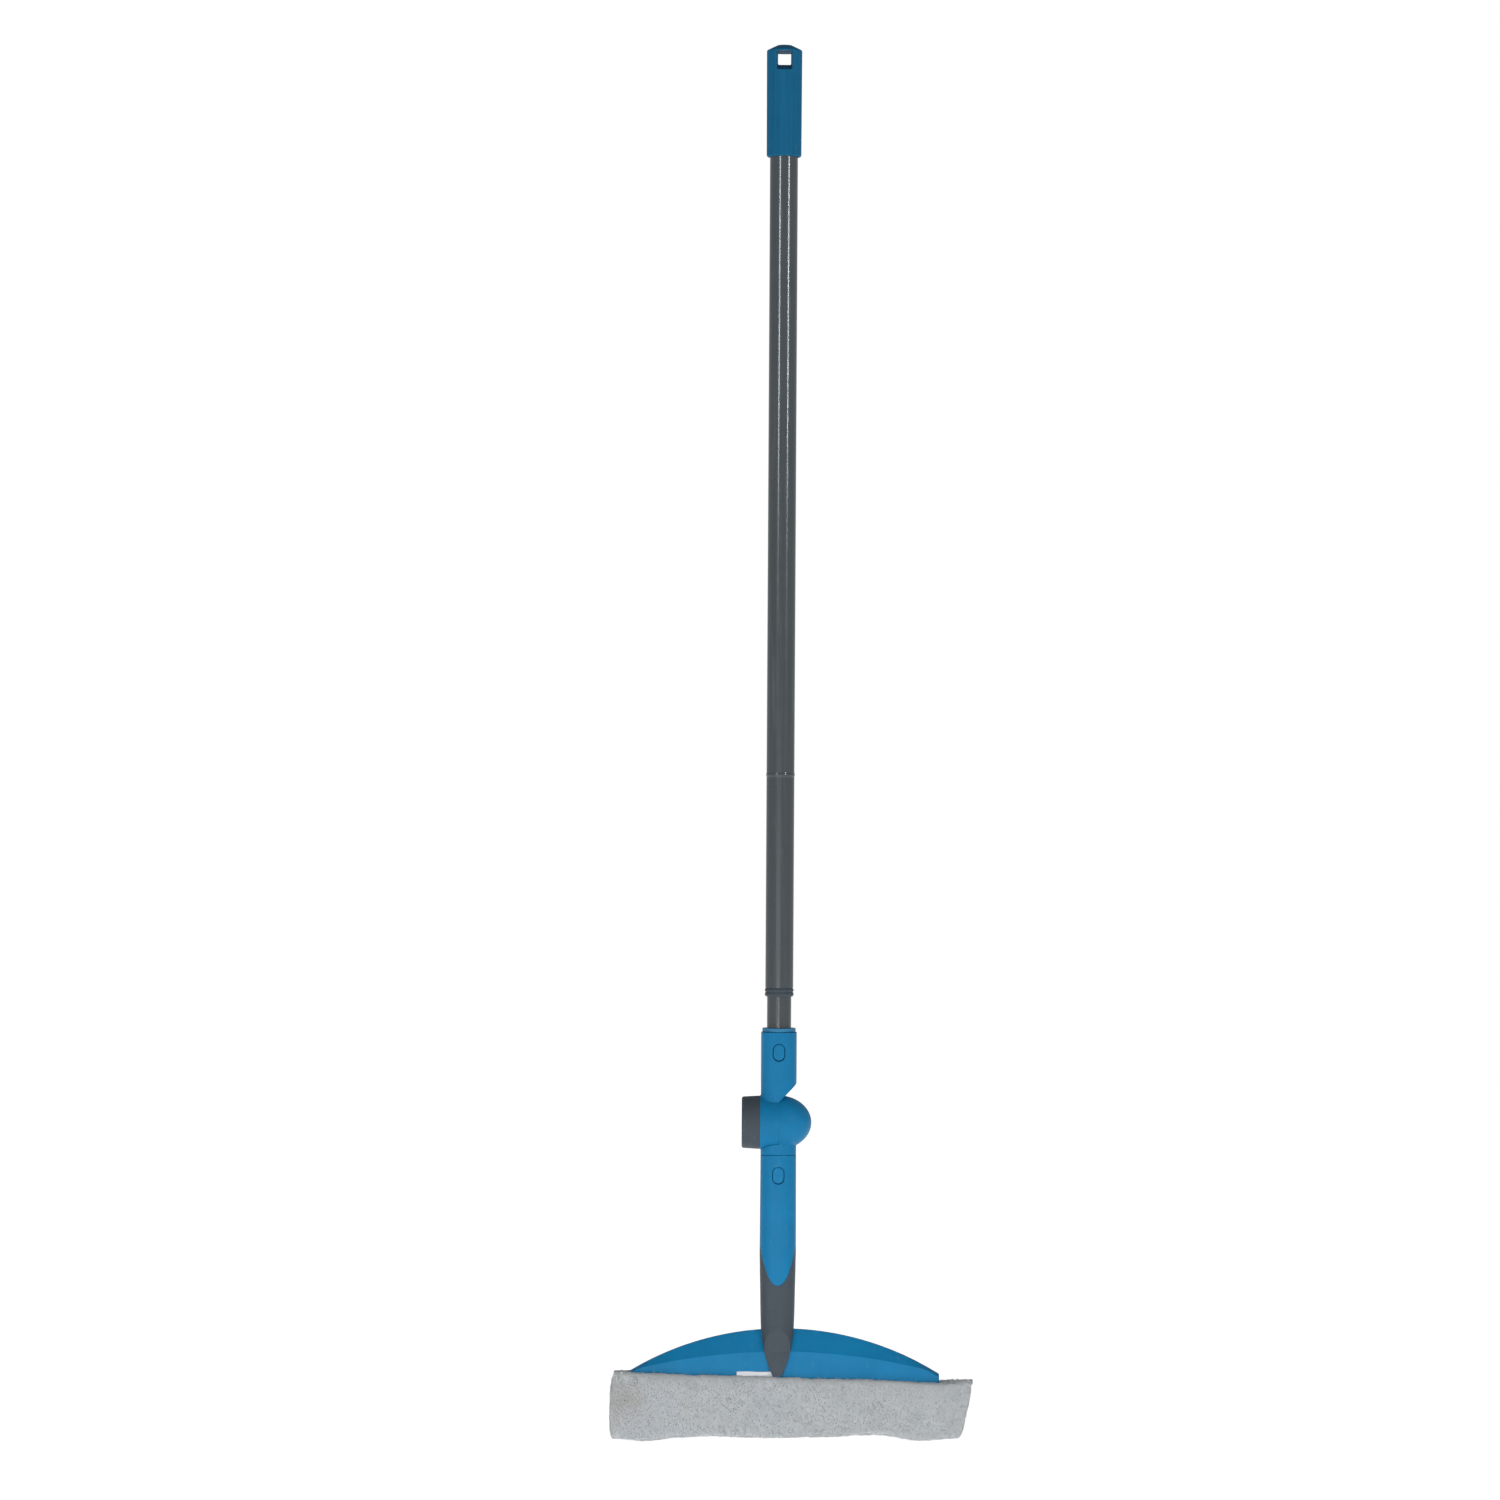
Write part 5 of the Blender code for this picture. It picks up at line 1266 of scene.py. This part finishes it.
def pile_nodes(tuft, density):
    """A geometry tree that sets combed-down tufts over the outside of the cover."""
    tree = bpy.data.node_groups.new("Pile", "GeometryNodeTree")
    tree.interface.new_socket("Geometry", in_out="INPUT", socket_type="NodeSocketGeometry")
    tree.interface.new_socket("Geometry", in_out="OUTPUT", socket_type="NodeSocketGeometry")

    def node(kind, sockets=None, **settings):
        made = tree.nodes.new(kind)
        for name, value in settings.items():
            setattr(made, name, value)
        for socket, value in (sockets or {}).items():
            if isinstance(value, bpy.types.NodeSocket):
                tree.links.new(value, made.inputs[socket])
            else:
                made.inputs[socket].default_value = value
        return made

    cloth = node("NodeGroupInput").outputs["Geometry"]
    outside = node("GeometryNodeInputNamedAttribute", {"Name": "outside"}, data_type="FLOAT").outputs[0]
    count = node("ShaderNodeMath", {0: outside, 1: density}, operation="MULTIPLY").outputs[0]
    points = node("GeometryNodeDistributePointsOnFaces", {"Mesh": cloth, "Density": count, "Seed": 7})
    drift_range = {"Min": (-0.55,) * 3, "Max": (0.55,) * 3, "Seed": 3}
    drift = node("FunctionNodeRandomValue", drift_range, data_type="FLOAT_VECTOR")
    fall = node("ShaderNodeVectorMath", {0: drift.outputs[0], 1: (0, 0, -0.55)}, operation="ADD").outputs[0]
    lean = node("ShaderNodeVectorMath", {0: points.outputs["Normal"], 1: fall}, operation="ADD").outputs[0]
    aim = node("FunctionNodeAlignRotationToVector", {"Vector": lean}, axis="Z").outputs[0]
    spin_range = {"Min": (0, 0, 0), "Max": (0, 0, 6.28), "Seed": 5}
    spin = node("FunctionNodeRandomValue", spin_range, data_type="FLOAT_VECTOR")
    size = node("FunctionNodeRandomValue", {2: 0.55, 3: 1.25, "Seed": 9}, data_type="FLOAT").outputs[1]
    source = node("GeometryNodeObjectInfo", {"Object": tuft}).outputs["Geometry"]
    tufts = node(
        "GeometryNodeInstanceOnPoints",
        {"Points": points.outputs["Points"], "Instance": source, "Rotation": aim, "Scale": size},
    ).outputs[0]
    spun = {"Instances": tufts, "Rotation": spin.outputs[0]}
    turned_tufts = node("GeometryNodeRotateInstances", spun).outputs[0]
    real = node("GeometryNodeRealizeInstances", {"Geometry": turned_tufts}).outputs[0]
    joined = node("GeometryNodeJoinGeometry", {})
    tree.links.new(real, joined.inputs[0])
    tree.links.new(cloth, joined.inputs[0])
    node("NodeGroupOutput", {"Geometry": joined.outputs[0]})
    return tree


def tuft(pile):
    """One bent, tapered bundle of fibres, standing on the origin."""
    nothing_selected()
    root = 0.34 * MM
    bpy.ops.mesh.primitive_circle_add(vertices=3, radius=root, fill_type="NGON", location=(0, 0, -0.5 * MM))
    piece = opened("tuft")
    for rise, share, bend in ((0.6, 0.8, 0.1), (0.4, 0.12, 0.35)):
        draw((bend * pile, 0, (pile + 0.5 * MM) * rise))
        bpy.ops.transform.resize(value=(share, share, 1))
    return closed(piece)


class WASHER_OT_fleece(bpy.types.Operator):
    """Model the fleece cover: its pocket, its lumps and its pile"""

    bl_idname = "washer.fleece"
    bl_label = "Fleece cover"

    def execute(self, context):
        sizes = context.scene.washer_sizes
        cover = fleece_block("fleece_sleeve", sizes.pile)
        place(cover, (HEAD_SHIFT, 0, 0))
        foot = HEAD_FOOT_Z - 9 * MM
        bar = (BAR_HIGH.x + 0.3 * MM, 5.6 * MM)
        carve(cover, block("bar_pocket", (-bar[0], -bar[1], BAR_LOW.z - 0.3 * MM), (*bar, foot + 3 * MM)))
        room = crescent_half("head_pocket_front", 1 * MM, foot, 0.25 * MM, 40)
        carve(cover, copied(room, "head_pocket_back", mirror_y=True))
        carve(cover, room)
        apply_modifier(cover, "REMESH", mode="VOXEL", voxel_size=1.3 * MM)
        for size, depth, share in ((15, 2, 0.8), (5.5, 2, 0.5), (2.2, 1, 0.25)):
            cloud = bpy.data.textures.new(f"lumps_{size}", "CLOUDS")
            cloud.noise_scale, cloud.noise_depth = size * MM, depth
            apply_modifier(
                cover,
                "DISPLACE",
                texture=cloud,
                texture_coords="LOCAL",
                strength=share * sizes.lumps,
                mid_level=0.5,
            )
        outside = cover.data.attributes.new("outside", "FLOAT", "POINT")
        values = []
        for vertex in cover.data.vertices:
            x, y, z = vertex.co
            within = abs(x - HEAD_SHIFT) < HEAD_HIGH.x + 1.5 * MM
            by_head = within and abs(y) < 12.2 * MM and z > foot - 1.5 * MM
            by_bar = abs(x) < BAR_HIGH.x + 1.5 * MM and abs(y) < 6.8 * MM and z > BAR_LOW.z - 1.5 * MM
            values.append(0.0 if by_head or by_bar else 1.0)
        outside.data.foreach_set("value", values)
        shade(cover, 180)
        strand = tuft(sizes.pile)
        density = sizes.fibres * 1
        apply_modifier(cover, "NODES", node_group=pile_nodes(strand, density))
        bpy.data.objects.remove(strand)
        fit(cover, "head", "fleece", "Fleece pile", "fleece_cover")
        return {"FINISHED"}


class WASHER_OT_label(bpy.types.Operator):
    """Model the blank woven label that is sewn into the cover's edge"""

    bl_idname = "washer.label"
    bl_label = "Blank label"

    def execute(self, context):
        left, right, top = LABEL_LOW.x + HEAD_SHIFT, LABEL_HIGH.x + HEAD_SHIFT, LABEL_HIGH.z
        low = top - 12 * MM
        nothing_selected()
        middle = ((left + right) / 2, LABEL_HIGH.y - 0.15 * MM, (top + low) / 2)
        bpy.ops.mesh.primitive_grid_add(
            x_subdivisions=32, y_subdivisions=12, size=1, location=middle, rotation=(math.pi / 2, 0, 0)
        )
        label = opened("blank_label")
        resize((right - left, 1, top - low), middle)
        closed(label)
        for vertex in label.data.vertices:
            x, _, z = vertex.co
            vertex.co.y -= MM * (0.18 * math.sin(x * 310) + 0.12 * math.sin(z * 700 + 1))
            vertex.co.z += MM * 0.15 * math.sin(x * 240 + 2)
        apply_modifier(label, "SOLIDIFY", thickness=0.45 * MM, offset=0.0)
        shade(label, 60)
        fit(label, "head", "white_tape", "White tape", "cover_label")
        return {"FINISHED"}


class WASHER_OT_inner_parts(bpy.types.Operator):
    """Give the frame's own inner parts their materials"""

    bl_idname = "washer.inner_parts"
    bl_label = "Inner parts"

    FINISHES = {
        "Black plastic": ("lock_plug", "lock_expander", "lock_cone", "friction_ring", "cover_bar"),
        "Zinc plate": (
            "lock_stop",
            "button_spring_upper",
            "button_spring_lower",
            "thrust_washer",
            "clamp_bolt",
            "clamp_nut",
        ),
        "White tape": ("hook_strip_front", "hook_strip_back"),
    }

    def execute(self, context):
        for finish, nodes in self.FINISHES.items():
            for node in nodes:
                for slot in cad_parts[node].material_slots:
                    slot.material = bpy.data.materials[finish]
        return {"FINISHED"}


class WASHER_OT_stage(bpy.types.Operator):
    """Set the pale floor, the soft lights and the camera"""

    bl_idname = "washer.stage"
    bl_label = "Stage"

    def execute(self, context):
        scene = context.scene
        nothing_selected()
        below = frame_box[0][2] - POLE_TRAVEL - 20 * MM  # clear of the head when the pole is drawn out
        bpy.ops.mesh.primitive_circle_add(vertices=96, radius=14, fill_type="NGON", location=(0, 0, below))
        floor = opened("floor")
        closed(floor)
        floor.data.materials.append(bpy.data.materials["Floor paint"])

        world = bpy.data.worlds.new("Soft white room")
        world.use_nodes = True
        nodes, links = world.node_tree.nodes, world.node_tree.links
        direction = nodes.new("ShaderNodeSeparateXYZ")
        links.new(nodes.new("ShaderNodeTexCoord").outputs["Generated"], direction.inputs[0])
        dimming = nodes.new("ShaderNodeMapRange")  # the walls are paler than the ceiling
        for socket, value in zip(("From Min", "From Max", "To Min", "To Max"), (0.0, 1.0, 0.58, 0.13)):
            dimming.inputs[socket].default_value = value
        links.new(direction.outputs["Z"], dimming.inputs["Value"])
        backdrop = nodes.new("ShaderNodeMix")  # seen directly, the walls are plain white
        backdrop.inputs["B"].default_value = 1.0
        links.new(nodes.new("ShaderNodeLightPath").outputs["Is Camera Ray"], backdrop.inputs["Factor"])
        links.new(dimming.outputs["Result"], backdrop.inputs["A"])
        links.new(backdrop.outputs["Result"], nodes["Background"].inputs["Strength"])
        nodes["Background"].inputs["Color"].default_value = (1, 1, 1, 1)
        scene.world = world
        scene.view_settings.view_transform = "Standard"

        lights = (
            # name, power, width, height, spread in degrees, place, aimed at
            ("Low front light", 5, 1.6, 0.9, 180, (-0.5, -2.4, -1.15), (0, 0, -1.0)),
            ("Head light", 0.17, 0.8, 0.2, 16, (-0.3, -2.6, -1.12), (0, 0, -1.22)),
            ("Left strip", 12, 0.06, 0.62, 180, (-1.39, -2.31, 0.08), (0, 0, -0.2)),
            ("Right strip", 14, 0.07, 0.62, 180, (1.84, -1.98, 0.08), (0, 0, -0.4)),
        )
        for name, power, width, height, spread, spot, target in lights:
            bpy.ops.object.light_add(type="AREA", location=spot)
            light = context.object
            light.name = name
            light.data.shape = "RECTANGLE"
            light.data.size, light.data.size_y = width, height
            light.data.energy, light.data.spread = power, math.radians(spread)
            light.rotation_euler = (Vector(target) - Vector(spot)).to_track_quat("-Z", "Y").to_euler()

        bpy.ops.object.camera_add(
            location=(-27.9 * MM, -scene.washer_sizes.camera_distance, -636 * MM),
            rotation=(math.pi / 2, math.radians(-0.33), 0),
        )
        camera = context.object
        camera.name = "Camera"
        camera.data.sensor_width = 36
        camera.data.lens = 131.7
        camera.data.clip_end = 50
        scene.camera = camera
        return {"FINISHED"}


PIECES = (
    WASHER_OT_finishes,
    WASHER_OT_cap,
    WASHER_OT_tubes,
    WASHER_OT_bush,
    WASHER_OT_plug,
    WASHER_OT_joint_socket,
    WASHER_OT_joint_dome,
    WASHER_OT_knob,
    WASHER_OT_buttons,
    WASHER_OT_handle,
    WASHER_OT_crescent,
    WASHER_OT_screws,
    WASHER_OT_fleece,
    WASHER_OT_label,
    WASHER_OT_inner_parts,
    WASHER_OT_stage,
)


class WASHER_PT_panel(bpy.types.Panel):
    """The washer's pieces, colours and sizes"""

    bl_idname = "WASHER_PT_panel"
    bl_label = "Window washer"
    bl_space_type = "VIEW_3D"
    bl_region_type = "UI"
    bl_category = "Washer"

    def draw(self, context):
        layout = self.layout
        for piece in PIECES:
            layout.operator(piece.bl_idname, text=piece.bl_label)
        for group in (context.scene.washer_colours, context.scene.washer_sizes):
            box = layout.box()
            for name in type(group).__annotations__:
                box.prop(group, name)


CLASSES = (WASHER_PG_colours, WASHER_PG_sizes, *PIECES, WASHER_PT_panel)


def register():
    for item in CLASSES:
        bpy.utils.register_class(item)
    bpy.types.Scene.washer_colours = bpy.props.PointerProperty(type=WASHER_PG_colours)
    bpy.types.Scene.washer_sizes = bpy.props.PointerProperty(type=WASHER_PG_sizes)


def unregister():
    del bpy.types.Scene.washer_sizes
    del bpy.types.Scene.washer_colours
    for item in reversed(CLASSES):
        bpy.utils.unregister_class(item)


def main():
    register()
    for piece in PIECES:
        getattr(bpy.ops.washer, piece.bl_idname.split(".")[1])()


if __name__ == "__main__":
    main()
